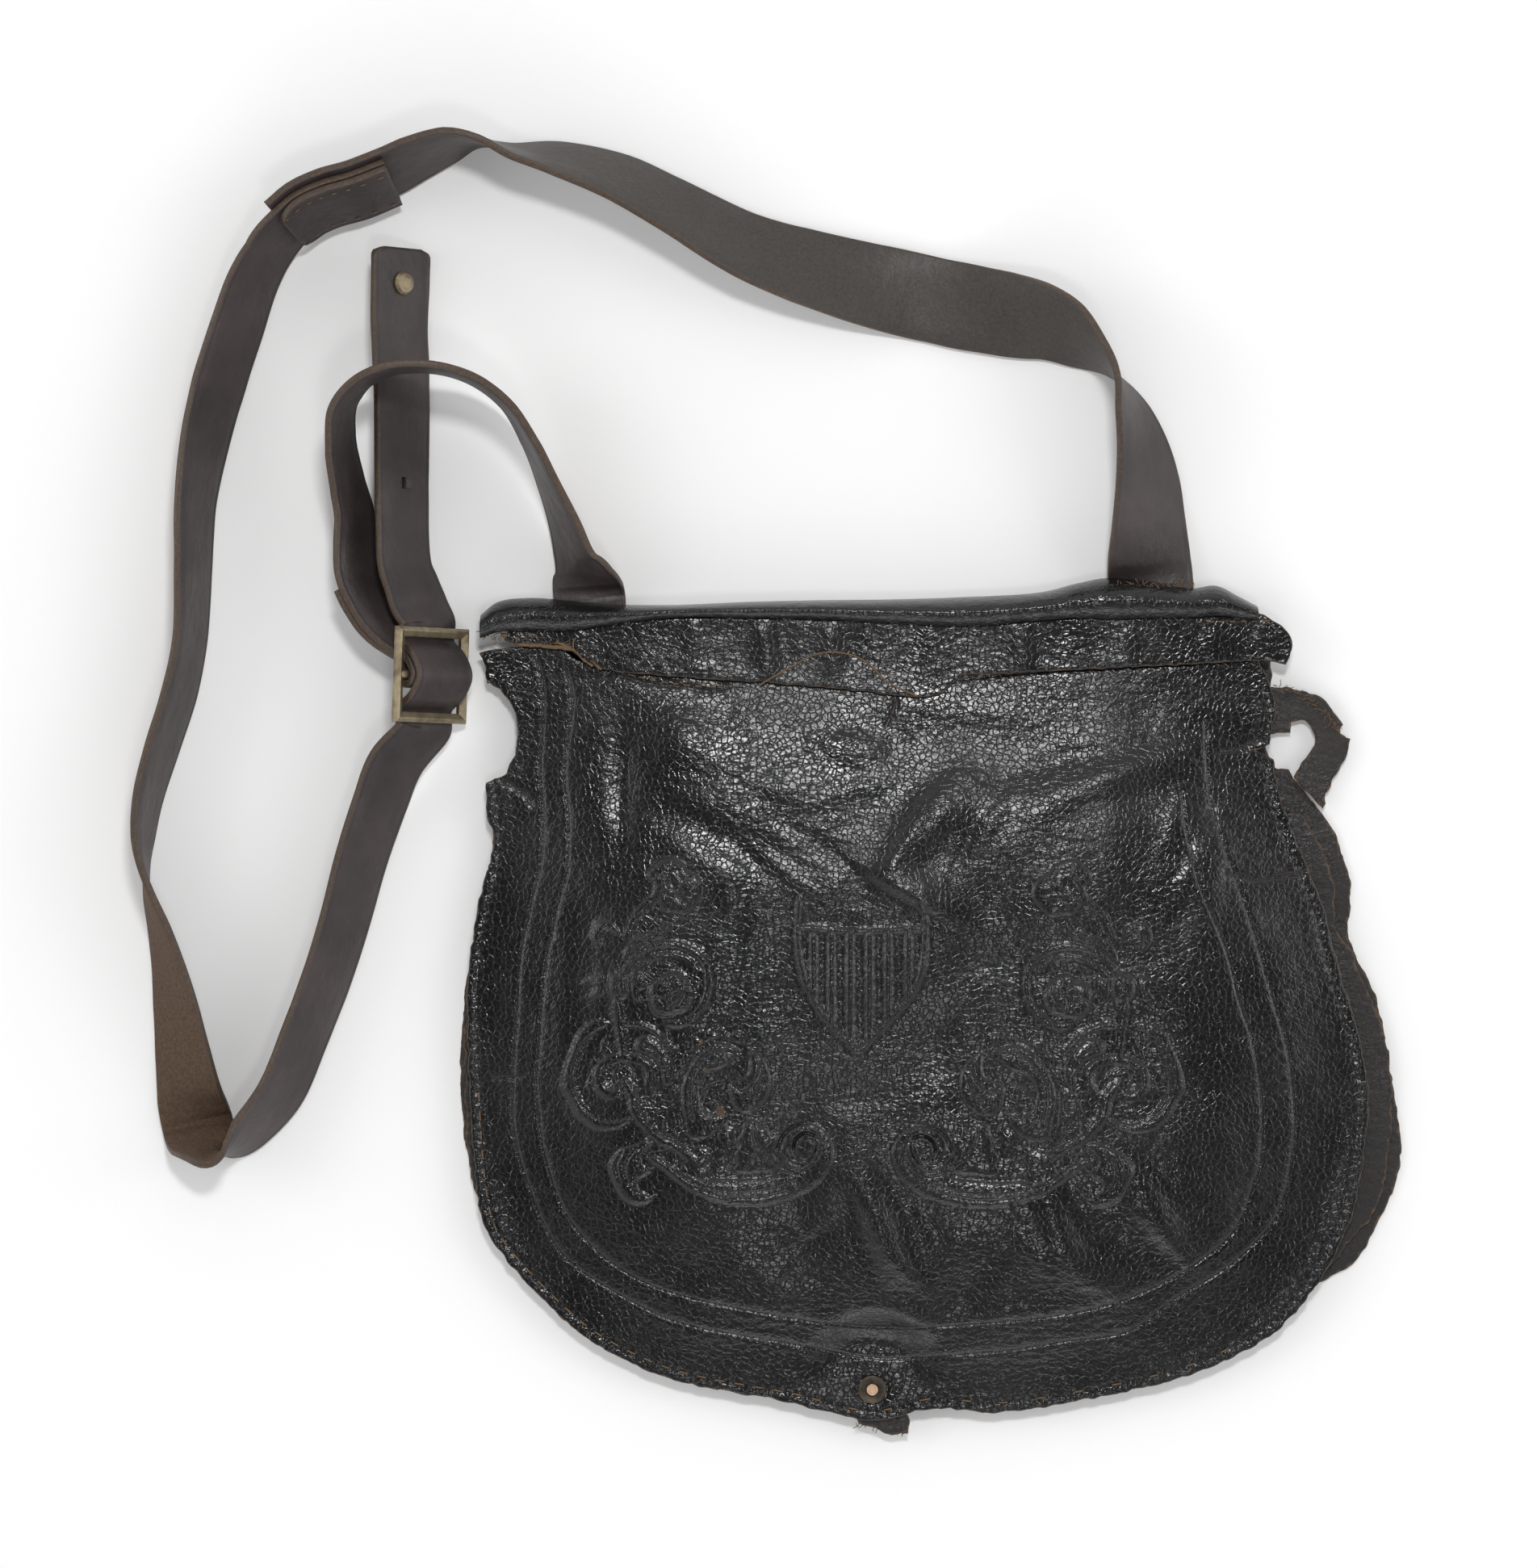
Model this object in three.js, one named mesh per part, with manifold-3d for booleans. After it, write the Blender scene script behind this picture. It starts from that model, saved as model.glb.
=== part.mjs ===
// A leather officer's haversack lying on its back, flap closed, with its shoulder strap laid out
// in a loop to the left and the two strap ends joined by a square buckle.
// Millimetres, +X to the bag's right hand side in the picture, +Y towards its top, +Z up.

import * as THREE from "three";
import { mergeVertices } from "three/addons/utils/BufferGeometryUtils.js";
import Module from "manifold-3d";

// Driving dimensions
const TOP_WIDTH = 300; // along the rolled top edge
const BAG_HEIGHT = 300; // from the rolled top edge to the hem at the stud
const LOOP_LEFT = 120; // reach of the strap loop to the left of the bag
const LOOP_UP = 150; // unit of the strap's reach above the bag
const GAP = 0.3; // clearance between pieces that touch

// Leather of the bag
const BACK_WALL = 1.8;
const GUSSET_WALL = 1.6;
const FRONT_WALL = 1.6;
const FLAP_WALL = 1.8;
const BAND_WALL = 1.6;
const ROLL_WALL = 1.6;
const TAB_WALL = 1.6;
const GUSSET_RISE = 1.4; // how far the folded gusset climbs towards the front panel
const POUCH_DEPTH = 11; // how far the front panel domes over its edge
const FLAP_SLACK = 5; // how far the loose flap stands over the front panel
const ROLL_CREST = 2.4; // how far the rolled edge stands over the band

// Straps
const SHOULDER_WIDTH = 32;
const STRAP_WIDTH = 26.5;
const STRAP_WALL = 2.8;
const SPLICE_END = 0.45; // width of the splice patch at its rounded ends, as a share
const HOLE_RADIUS = 1.3; // punched hole in the free end

// Metalwork
const BUCKLE_ALONG = 35.4;
const BUCKLE_BAR = 3.8;
const BUCKLE_THICK = 3;
const BUCKLE_SIDE_PLAY = 0.9; // each side of the strap, inside the frame
const BUCKLE_TILT = 45; // degrees, its left side raised
const BUCKLE_TURN = 2; // degrees, its top leaning right
const CENTRE_BAR_RADIUS = 1.7;
const WASHER_RADIUS = 5.2;
const WASHER_THICK = 1;
const POST_RADIUS = 2.1;
const POST_HEIGHT = 2.6;
const SHANK_RADIUS = 1.2;
const STUD_RADIUS = 4.4;
const STUD_HEIGHT = 2.4;

// Fineness of the faceted leather
const FLAP_CELL = 10.4;
const PANEL_CELL = 16;
const BAND_CELL = 11;
const EDGE_SAMPLES = 2; // straight pieces for each span of a smooth outline
const STRAP_SAMPLES = 2; // for each span of a strap route

const MM_FAR = 80; // half height of the cutting prisms

// Shape of the full pouch, in shares of the bag: it is wide and high at its foot, and narrower and
// flatter towards the top edge
const FRONT_SPREAD = 0.94; // the front panel's dome is narrower than the flap's
const POUCH_FOOT = 0.55; // height below which it falls off towards the hem
const POUCH_HALF = { foot: 0.55, top: 0.46 }; // half its width
const POUCH_CENTRE = { foot: 0.54, top: 0.505 };
const POUCH_NARROWS = { from: 0.5, to: 0.9 };
const POUCH_FLATTENS = { from: 0.62, to: 0.97, by: 0.72 };

// The gussets climb from the sides of the bag inwards, the roll bends over part of its depth
const GUSSET_CLIMB = { left: -0.03, right: 1.14, over: 0.16, share: 0.5 };
const ROLL_BEND = 0.6;
const ROLL_STEPS = 5;

// Levels of the stacked layers at the bag's edge
const SEAT = BACK_WALL + GAP;
const FRONT_SEAT = SEAT + GUSSET_RISE + GUSSET_WALL + GAP;
const FLAP_SEAT = FRONT_SEAT + FRONT_WALL + GAP;

// Outlines on the bag: x in shares of TOP_WIDTH from its left end, y in shares of BAG_HEIGHT.
// corner: 1 marks a torn or sharp point, the rest is drawn as one smooth curve.
const backOutline = [
  { x: 0.075, y: 0.99, corner: 1 },
  { x: 0.235, y: 0.99 },
  { x: 0.695, y: 0.997 },
  { x: 0.78, y: 1.01 },
  { x: 0.885, y: 1.003 },
  { x: 0.95, y: 0.985 },
  { x: 0.98, y: 0.955 },
  { x: 0.977, y: 0.855 },
  { x: 0.975, y: 0.82, corner: 1 },
  { x: 0.982, y: 0.796, corner: 1 },
  { x: 1.003, y: 0.792, corner: 1 },
  { x: 1.011, y: 0.779 },
  { x: 1.043, y: 0.741 },
  { x: 1.06, y: 0.715, corner: 1 },
  { x: 1.075, y: 0.675 },
  { x: 1.081, y: 0.635 },
  { x: 1.077, y: 0.595 },
  { x: 1.095, y: 0.545 },
  { x: 1.113, y: 0.505 },
  { x: 1.132, y: 0.405 },
  { x: 1.143, y: 0.325 },
  { x: 1.138, y: 0.285 },
  { x: 1.105, y: 0.21 },
  { x: 1.081, y: 0.175, corner: 1 },
  { x: 1.035, y: 0.149 },
  { x: 0.965, y: 0.09 },
  { x: 0.905, y: 0.058 },
  { x: 0.805, y: 0.033 },
  { x: 0.665, y: 0.006 },
  { x: 0.555, y: 0.007 },
  { x: 0.465, y: -0.003 },
  { x: 0.385, y: 0.015 },
  { x: 0.265, y: 0.038 },
  { x: 0.175, y: 0.072 },
  { x: 0.105, y: 0.118 },
  { x: 0.045, y: 0.179 },
  { x: 0.007, y: 0.233 },
  { x: -0.02, y: 0.325 },
  { x: -0.026, y: 0.455 },
  { x: -0.013, y: 0.565 },
  { x: 0.011, y: 0.685 },
  { x: 0.017, y: 0.745 },
  { x: 0.045, y: 0.795 },
  { x: 0.05, y: 0.865 },
  { x: 0.073, y: 0.925 },
];

const gussetLeftOutline = [
  { x: 0.007, y: 0.665, corner: 1 },
  { x: 0.045, y: 0.665, corner: 1 },
  { x: 0.029, y: 0.585 },
  { x: 0.017, y: 0.485 },
  { x: 0.017, y: 0.385 },
  { x: 0.025, y: 0.305 },
  { x: 0.045, y: 0.245 },
  { x: 0.085, y: 0.195, corner: 1 },
  { x: 0.045, y: 0.185, corner: 1 },
  { x: 0.011, y: 0.23 },
  { x: -0.012, y: 0.28 },
  { x: -0.019, y: 0.345 },
  { x: -0.022, y: 0.425 },
  { x: -0.021, y: 0.485 },
  { x: -0.015, y: 0.545 },
];

const gussetBottomOutline = [
  { x: 0.05, y: 0.178, corner: 1 },
  { x: 0.09, y: 0.187, corner: 1 },
  { x: 0.125, y: 0.155 },
  { x: 0.185, y: 0.11 },
  { x: 0.265, y: 0.075 },
  { x: 0.385, y: 0.055 },
  { x: 0.465, y: 0.04 },
  { x: 0.555, y: 0.045 },
  { x: 0.655, y: 0.045 },
  { x: 0.785, y: 0.073 },
  { x: 0.885, y: 0.095 },
  { x: 0.945, y: 0.125 },
  { x: 1.003, y: 0.177, corner: 1 },
  { x: 1.041, y: 0.162, corner: 1 },
  { x: 1.017, y: 0.143 },
  { x: 0.965, y: 0.095 },
  { x: 0.905, y: 0.063 },
  { x: 0.805, y: 0.038 },
  { x: 0.665, y: 0.011 },
  { x: 0.555, y: 0.012 },
  { x: 0.465, y: 0.003 },
  { x: 0.385, y: 0.02 },
  { x: 0.265, y: 0.043 },
  { x: 0.175, y: 0.077 },
  { x: 0.105, y: 0.123 },
];

const gussetRightOutline = [
  { x: 0.977, y: 0.735, corner: 1 },
  { x: 1.017, y: 0.74, corner: 1 },
  { x: 1.037, y: 0.71 },
  { x: 1.05, y: 0.675 },
  { x: 1.06, y: 0.645 },
  { x: 1.058, y: 0.598, corner: 1 },
  { x: 1.077, y: 0.575 },
  { x: 1.095, y: 0.531 },
  { x: 1.114, y: 0.487 },
  { x: 1.127, y: 0.435 },
  { x: 1.131, y: 0.372 },
  { x: 1.121, y: 0.276 },
  { x: 1.106, y: 0.239 },
  { x: 1.077, y: 0.202 },
  { x: 1.047, y: 0.169, corner: 1 },
  { x: 1.005, y: 0.185, corner: 1 },
  { x: 1.045, y: 0.245 },
  { x: 1.065, y: 0.391 },
  { x: 1.053, y: 0.46 },
  { x: 1.027, y: 0.545 },
  { x: 1.005, y: 0.62 },
  { x: 0.985, y: 0.685 },
];

const gussetTornOutline = [
  { x: 0.965, y: 0.897, corner: 1 },
  { x: 1.01, y: 0.893 },
  { x: 1.045, y: 0.882 },
  { x: 1.07, y: 0.848, corner: 1 },
  { x: 1.068, y: 0.838, corner: 1 },
  { x: 1.08, y: 0.831, corner: 1 },
  { x: 1.075, y: 0.805 },
  { x: 1.06, y: 0.783 },
  { x: 1.05, y: 0.76 },
  { x: 1.045, y: 0.743, corner: 1 },
  { x: 1.009, y: 0.783, corner: 1 },
  { x: 1.023, y: 0.805 },
  { x: 1.036, y: 0.827 },
  { x: 1.032, y: 0.84, corner: 1 },
  { x: 1.022, y: 0.852 },
  { x: 1.005, y: 0.852, corner: 1 },
  { x: 1.004, y: 0.839, corner: 1 },
  { x: 0.965, y: 0.836, corner: 1 },
];

const frontOutline = [
  { x: 0.055, y: 0.855, corner: 1 },
  { x: 0.955, y: 0.865, corner: 1 },
  { x: 0.965, y: 0.785 },
  { x: 0.985, y: 0.685 },
  { x: 1.015, y: 0.605 },
  { x: 1.045, y: 0.495 },
  { x: 1.067, y: 0.395 },
  { x: 1.06, y: 0.305 },
  { x: 1.04, y: 0.23 },
  { x: 1.0, y: 0.17 },
  { x: 0.935, y: 0.11 },
  { x: 0.835, y: 0.07 },
  { x: 0.675, y: 0.055 },
  { x: 0.535, y: 0.068 },
  { x: 0.435, y: 0.068 },
  { x: 0.365, y: 0.06 },
  { x: 0.265, y: 0.08 },
  { x: 0.175, y: 0.12 },
  { x: 0.095, y: 0.185 },
  { x: 0.045, y: 0.255 },
  { x: 0.023, y: 0.345 },
  { x: 0.019, y: 0.455 },
  { x: 0.033, y: 0.575 },
  { x: 0.05, y: 0.685 },
  { x: 0.05, y: 0.785 },
];

const closingTabOutline = [
  { x: 0.453, y: 0.053, corner: 1 },
  { x: 0.517, y: 0.053, corner: 1 },
  { x: 0.525, y: 0.005 },
  { x: 0.531, y: -0.017, corner: 1 },
  { x: 0.529, y: -0.031, corner: 1 },
  { x: 0.513, y: -0.034 },
  { x: 0.497, y: -0.028, corner: 1 },
  { x: 0.467, y: -0.019, corner: 1 },
];

const flapOutline = [
  { x: -0.003, y: 0.937, corner: 1 },
  { x: 0.045, y: 0.944 },
  { x: 0.098, y: 0.947, corner: 1 },
  { x: 0.117, y: 0.93 },
  { x: 0.165, y: 0.926, corner: 1 },
  { x: 0.485, y: 0.911 },
  { x: 0.585, y: 0.923 },
  { x: 0.885, y: 0.939 },
  { x: 0.961, y: 0.933, corner: 1 },
  { x: 0.98, y: 0.895 },
  { x: 0.987, y: 0.845 },
  { x: 0.981, y: 0.821, corner: 1 },
  { x: 0.96, y: 0.816, corner: 1 },
  { x: 0.982, y: 0.804, corner: 1 },
  { x: 0.989, y: 0.77 },
  { x: 1.003, y: 0.725 },
  { x: 1.027, y: 0.667 },
  { x: 1.045, y: 0.62 },
  { x: 1.062, y: 0.553 },
  { x: 1.088, y: 0.465 },
  { x: 1.1, y: 0.391 },
  { x: 1.095, y: 0.317 },
  { x: 1.082, y: 0.243 },
  { x: 1.057, y: 0.187, corner: 1 },
  { x: 1.031, y: 0.145 },
  { x: 0.985, y: 0.095 },
  { x: 0.935, y: 0.065 },
  { x: 0.865, y: 0.037 },
  { x: 0.745, y: 0.01 },
  { x: 0.635, y: -0.005 },
  { x: 0.56, y: 0.001 },
  { x: 0.505, y: -0.013 },
  { x: 0.465, y: -0.013 },
  { x: 0.385, y: 0.007 },
  { x: 0.265, y: 0.029 },
  { x: 0.205, y: 0.048 },
  { x: 0.125, y: 0.092 },
  { x: 0.06, y: 0.154 },
  { x: 0.005, y: 0.223 },
  { x: -0.011, y: 0.345 },
  { x: -0.017, y: 0.52 },
  { x: -0.005, y: 0.62 },
  { x: 0.01, y: 0.683 },
  { x: 0.004, y: 0.777, corner: 1 },
  { x: 0.026, y: 0.79, corner: 1 },
  { x: 0.02, y: 0.865 },
  { x: 0.001, y: 0.897, corner: 1 },
  { x: 0.005, y: 0.915 },
];

const bandOutline = [
  { x: 0.035, y: 0.969, corner: 1 },
  { x: 0.165, y: 0.98 },
  { x: 0.405, y: 0.983 },
  { x: 0.63, y: 0.977 },
  { x: 0.805, y: 0.985 },
  { x: 0.968, y: 0.985, corner: 1 },
  { x: 0.985, y: 0.975 },
  { x: 1.003, y: 0.96 },
  { x: 1.006, y: 0.943 },
  { x: 0.997, y: 0.923, corner: 1 },
  { x: 0.967, y: 0.927 },
  { x: 0.885, y: 0.923 },
  { x: 0.705, y: 0.914 },
  { x: 0.595, y: 0.909, corner: 1 },
  { x: 0.57, y: 0.887 },
  { x: 0.545, y: 0.881 },
  { x: 0.485, y: 0.888 },
  { x: 0.365, y: 0.899 },
  { x: 0.205, y: 0.91 },
  { x: 0.145, y: 0.918 },
  { x: 0.12, y: 0.933 },
  { x: 0.108, y: 0.948, corner: 1 },
  { x: 0.045, y: 0.948 },
  { x: 0.029, y: 0.953, corner: 1 },
];

// Rolled top edge: where its outer edge and its seam run
const rollSections = [
  { x: -0.001, edge: 0.985, seam: 0.955 },
  { x: 0.02, edge: 1.001, seam: 0.962 },
  { x: 0.06, edge: 1.006, seam: 0.965 },
  { x: 0.105, edge: 1.003, seam: 0.964 },
  { x: 0.165, edge: 0.998, seam: 0.972 },
  { x: 0.235, edge: 0.997, seam: 0.98 },
  { x: 0.335, edge: 1.001, seam: 0.98 },
  { x: 0.42, edge: 1.003, seam: 0.978 },
  { x: 0.505, edge: 1.004, seam: 0.974 },
  { x: 0.6, edge: 1.007, seam: 0.97 },
  { x: 0.695, edge: 1.013, seam: 0.977 },
  { x: 0.74, edge: 1.024, seam: 0.98 },
  { x: 0.78, edge: 1.031, seam: 0.979 },
  { x: 0.83, edge: 1.027, seam: 0.98 },
  { x: 0.883, edge: 1.018, seam: 0.981 },
  { x: 0.913, edge: 1.021, seam: 0.983 },
  { x: 0.94, edge: 1.008, seam: 0.98 },
  { x: 0.963, edge: 0.996, seam: 0.977 },
];

// Folds and dents of the loose flap: a ridge or hollow of half lengths long and wide (shares of
// TOP_WIDTH), turned by turn degrees, rise in shares of FLAP_SLACK
const flapFolds = [
  { x: 0.485, y: 0.755, long: 0.25, wide: 0.09, turn: 0, rise: 0.3 },
  { x: 0.245, y: 0.835, long: 0.04, wide: 0.035, turn: 0, rise: 0.6 },
  { x: 0.805, y: 0.793, long: 0.11, wide: 0.022, turn: 18, rise: 0.7 },
  { x: 0.46, y: 0.82, long: 0.05, wide: 0.02, turn: -10, rise: 0.35 },
  { x: 0.555, y: 0.725, long: 0.07, wide: 0.022, turn: 50, rise: 0.5 },
  { x: 0.54, y: 0.64, long: 0.07, wide: 0.02, turn: -35, rise: 0.45 },
  { x: 0.285, y: 0.715, long: 0.09, wide: 0.024, turn: -25, rise: -0.5 },
  { x: 0.175, y: 0.765, long: 0.08, wide: 0.016, turn: 90, rise: -0.4 },
  { x: 0.905, y: 0.67, long: 0.06, wide: 0.02, turn: 80, rise: 0.35 },
  { x: 0.493, y: 0.23, long: 0.085, wide: 0.02, turn: -70, rise: 0.7 },
  { x: 0.385, y: 0.185, long: 0.05, wide: 0.035, turn: 20, rise: -0.5 },
  { x: 0.745, y: 0.17, long: 0.07, wide: 0.03, turn: -30, rise: 0.55 },
  { x: 0.715, y: 0.225, long: 0.05, wide: 0.018, turn: -66, rise: 0.4 },
  { x: 0.833, y: 0.245, long: 0.07, wide: 0.02, turn: -53, rise: 0.6 },
  { x: 0.6, y: 0.15, long: 0.05, wide: 0.03, turn: 60, rise: -0.45 },
  { x: 0.535, y: 0.115, long: 0.035, wide: 0.016, turn: -20, rise: 0.5 },
];

// Strap routes as laid on the surface: x in shares of LOOP_LEFT left of the bag and of TOP_WIDTH
// over it, y in shares of BAG_HEIGHT beside the bag and of LOOP_UP above it. roll turns the strap
// about its run, 0 is flat. rise lifts its lower edge, in shares of its width. seat: 1 lies on the
// back panel instead of the surface.
const shoulderRoute = [
  { x: 0.831, y: 0.972, roll: 0, seat: 1 },
  { x: 0.831, y: 1.0, roll: 0, seat: 1 },
  { x: 0.831, y: 1.05, roll: 1, seat: 1 },
  { x: 0.829, y: 1.1, roll: 14, seat: 0.6 },
  { x: 0.828, y: 1.19, roll: 30 },
  { x: 0.826, y: 1.29, roll: 41 },
  { x: 0.818, y: 1.39, roll: 54 },
  { x: 0.804, y: 1.48, roll: 68 },
  { x: 0.784, y: 1.566, roll: 90 },
  { x: 0.755, y: 1.624, roll: 111 },
  { x: 0.729, y: 1.666, roll: 129 },
  { x: 0.697, y: 1.696, roll: 143 },
  { x: 0.655, y: 1.714, roll: 161 },
  { x: 0.595, y: 1.738, roll: 176 },
  { x: 0.523, y: 1.77, roll: 183 },
  { x: 0.448, y: 1.806, roll: 200 },
  { x: 0.335, y: 1.878, roll: 219 },
  { x: 0.236, y: 1.984, roll: 230 },
  { x: 0.171, y: 2.05, roll: 235 },
  { x: 0.096, y: 2.096, roll: 245 },
  { x: 0.042, y: 2.114, roll: 258 },
  { x: -0.008, y: 2.14, roll: 270 },
  { x: -0.095, y: 2.13, roll: 286 },
  { x: -0.203, y: 2.096, roll: 294 },
  { x: -0.283, y: 2.064, roll: 297 },
  { x: -0.388, y: 2.03, roll: 298 },
  { x: -0.475, y: 2.01, roll: 298 },
  { x: -0.55, y: 1.982, roll: 299 },
  { x: -0.613, y: 1.938, roll: 300 },
];
const SPLICE_ROWS = 4; // last stations of the shoulder strap, which the lower strap overlaps

const lowerRoute = [
  { x: -0.657, y: 1.866, roll: 303 },
  { x: -0.708, y: 1.79, roll: 307 },
  { x: -0.753, y: 1.686, roll: 310 },
  { x: -0.81, y: 1.544, roll: 310 },
  { x: -0.853, y: 1.404, roll: 305 },
  { x: -0.883, y: 1.248, roll: 297 },
  { x: -0.89, y: 1.09, roll: 293 },
  { x: -0.9, y: 0.954, roll: 290 },
  { x: -0.933, y: 0.887, roll: 291 },
  { x: -0.988, y: 0.817, roll: 290 },
  { x: -1.03, y: 0.757, roll: 286 },
  { x: -1.045, y: 0.709, roll: 280 },
  { x: -1.043, y: 0.672, roll: 270 },
  { x: -1.025, y: 0.635, roll: 260 },
  { x: -0.995, y: 0.595, roll: 251 },
  { x: -0.965, y: 0.545, roll: 241 },
  { x: -0.943, y: 0.495, roll: 230 },
  { x: -0.925, y: 0.445, roll: 220 },
  { x: -0.905, y: 0.392, roll: 205 },
  { x: -0.885, y: 0.353, roll: 178 },
  { x: -0.863, y: 0.327, roll: 140 },
  { x: -0.825, y: 0.314, roll: 103 },
  { x: -0.775, y: 0.322, roll: 78 },
  { x: -0.72, y: 0.343, roll: 62 },
  { x: -0.623, y: 0.39, roll: 55 },
  { x: -0.543, y: 0.465, roll: 54 },
  { x: -0.473, y: 0.539, roll: 53 },
  { x: -0.42, y: 0.607, roll: 52 },
  { x: -0.37, y: 0.682, roll: 50 },
  { x: -0.31, y: 0.753, roll: 47, rise: 0.06 },
  { x: -0.263, y: 0.8, roll: 46, rise: 0.14 },
];

const freeEndRoute = [
  { x: -0.192, y: 0.998, roll: 45, rise: 0.16 },
  { x: -0.215, y: 1.045, roll: 47, rise: 0.13 },
  { x: -0.235, y: 1.09, roll: 48, rise: 0.1 },
  { x: -0.243, y: 1.19, roll: 49, rise: 0.05 },
  { x: -0.245, y: 1.29, roll: 48, rise: 0.02 },
  { x: -0.245, y: 1.39, roll: 47 },
  { x: -0.245, y: 1.49, roll: 46 },
  { x: -0.248, y: 1.59, roll: 45 },
  { x: -0.253, y: 1.69, roll: 44 },
  { x: -0.25, y: 1.79, roll: 42 },
  { x: -0.248, y: 1.878, roll: 40 },
];
const HOLE_ROW = 4; // station of the free end nearest to the punched hole
const STUD_ROW = 9; // and to the brass stud

const buckleStrapRoute = [
  { x: 0.135, y: 0.972, roll: 0, seat: 1 },
  { x: 0.135, y: 0.99, roll: 0, seat: 1 },
  { x: 0.134, y: 1.015, roll: -1, seat: 1 },
  { x: 0.131, y: 1.045, roll: -22, seat: 0.6 },
  { x: 0.126, y: 1.075, roll: -42, seat: 0.2 },
  { x: 0.117, y: 1.115, roll: -60 },
  { x: 0.105, y: 1.19, roll: -68, rise: 0.1 },
  { x: 0.085, y: 1.29, roll: -76, rise: 0.2 },
  { x: 0.063, y: 1.39, roll: -81, rise: 0.32 },
  { x: 0.035, y: 1.48, roll: -85, rise: 0.5 },
  { x: 0.002, y: 1.534, roll: -87, rise: 0.62 },
  { x: -0.088, y: 1.564, roll: -88, rise: 0.76 },
  { x: -0.188, y: 1.574, roll: -88, rise: 0.84 },
  { x: -0.288, y: 1.564, roll: -87, rise: 0.87 },
  { x: -0.368, y: 1.53, roll: -84, rise: 0.82 },
  { x: -0.418, y: 1.474, roll: -79, rise: 0.6 },
  { x: -0.43, y: 1.39, roll: -74, rise: 0.35 },
  { x: -0.412, y: 1.29, roll: -68, rise: 0.12 },
  { x: -0.39, y: 1.21, roll: -62, rise: 0.02 },
  { x: -0.382, y: 1.13, roll: -56, rise: 0.04 },
  { x: -0.365, y: 1.06, roll: -50, rise: 0.12 },
  { x: -0.333, y: 1.014, roll: -47, rise: 0.14 },
  { x: -0.288, y: 0.983, roll: -45, rise: 0.16 },
];

const bucklePlace = { x: -0.15, y: 0.909 };
const flapStudPlace = { x: 0.485, y: 0.024 };

// The strap through the buckle, seen from the side: along in shares of BUCKLE_ALONG from the
// centre bar, over: 1 rides over the bar, 0 runs under the frame's ends
const throughBuckle = [
  { along: -0.57, over: 0 },
  { along: -0.48, over: 0 },
  { along: -0.36, over: 0.0 },
  { along: -0.2, over: 0.65 },
  { along: 0, over: 1 },
  { along: 0.2, over: 0.65 },
  { along: 0.36, over: 0.0 },
  { along: 0.48, over: 0 },
  { along: 0.57, over: 0 },
];
const WRAP_STEPS = 6; // straight pieces of the strap's turn round the centre bar
const OVER_ROW = 4; // row of that table that lies over the centre bar
const RETURN_ROWS = 3; // stations of the buckle strap that its stitched end runs back along

const wasm = await Module();
wasm.setup();

const radians = THREE.MathUtils.degToRad;
const up = new THREE.Vector3(0, 0, 1);

// Plan positions
const onBag = (x, y) => new THREE.Vector2(x * TOP_WIDTH, y * BAG_HEIGHT);
const onLoop = (x, y) =>
  new THREE.Vector2(
    x < 0 ? x * LOOP_LEFT : x * TOP_WIDTH,
    y > 1 ? BAG_HEIGHT + (y - 1) * LOOP_UP : y * BAG_HEIGHT,
  );

// Solid helpers
function solidOf(geometry) {
  const bare = geometry.clone();
  bare.deleteAttribute("normal");
  bare.deleteAttribute("uv");
  const merged = mergeVertices(bare, 1e-4);
  return new wasm.Manifold(
    new wasm.Mesh({
      numProp: 3,
      vertProperties: new Float32Array(merged.attributes.position.array),
      triVerts: new Uint32Array(merged.index.array),
    }),
  );
}

function geometryOf(solid) {
  const mesh = solid.getMesh();
  const points = new Float32Array(mesh.numVert * 3);
  for (let i = 0; i < mesh.numVert; i++)
    for (let k = 0; k < 3; k++) points[i * 3 + k] = mesh.vertProperties[i * mesh.numProp + k];
  const geometry = new THREE.BufferGeometry();
  geometry.setAttribute("position", new THREE.BufferAttribute(points, 3));
  geometry.setIndex(new THREE.BufferAttribute(new Uint32Array(mesh.triVerts), 1));
  return geometry;
}

// Closed ring of rows of points: a tube with flat ends, each row one cross-section
function loft(rows) {
  const around = rows[0].length;
  const points = rows.flat().flatMap((p) => [p.x, p.y, p.z]);
  const faces = [];
  for (let i = 0; i + 1 < rows.length; i++)
    for (let k = 0; k < around; k++) {
      const a = i * around + k;
      const b = i * around + ((k + 1) % around);
      faces.push(a, b, a + around, b, b + around, a + around);
    }
  const last = (rows.length - 1) * around;
  const ends = THREE.ShapeUtils.triangulateShape(flatten(rows[0]), []);
  for (const [a, b, c] of ends) faces.push(c, b, a);
  const endFaces = THREE.ShapeUtils.triangulateShape(flatten(rows[rows.length - 1]), []);
  for (const [a, b, c] of endFaces) faces.push(last + a, last + b, last + c);
  const geometry = new THREE.BufferGeometry();
  geometry.setAttribute("position", new THREE.Float32BufferAttribute(points, 3));
  geometry.setIndex(faces);
  return outward(geometry);
}

// A cross-section in space, laid flat in its own plane
function flatten(section) {
  const across = section[1].clone().sub(section[0]).normalize();
  const far = section[section.length - 1].clone().sub(section[0]);
  const normal = across.clone().cross(far).normalize();
  const over = normal.cross(across);
  return section.map((p) => {
    const d = p.clone().sub(section[0]);
    return new THREE.Vector2(d.dot(across), d.dot(over));
  });
}

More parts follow.
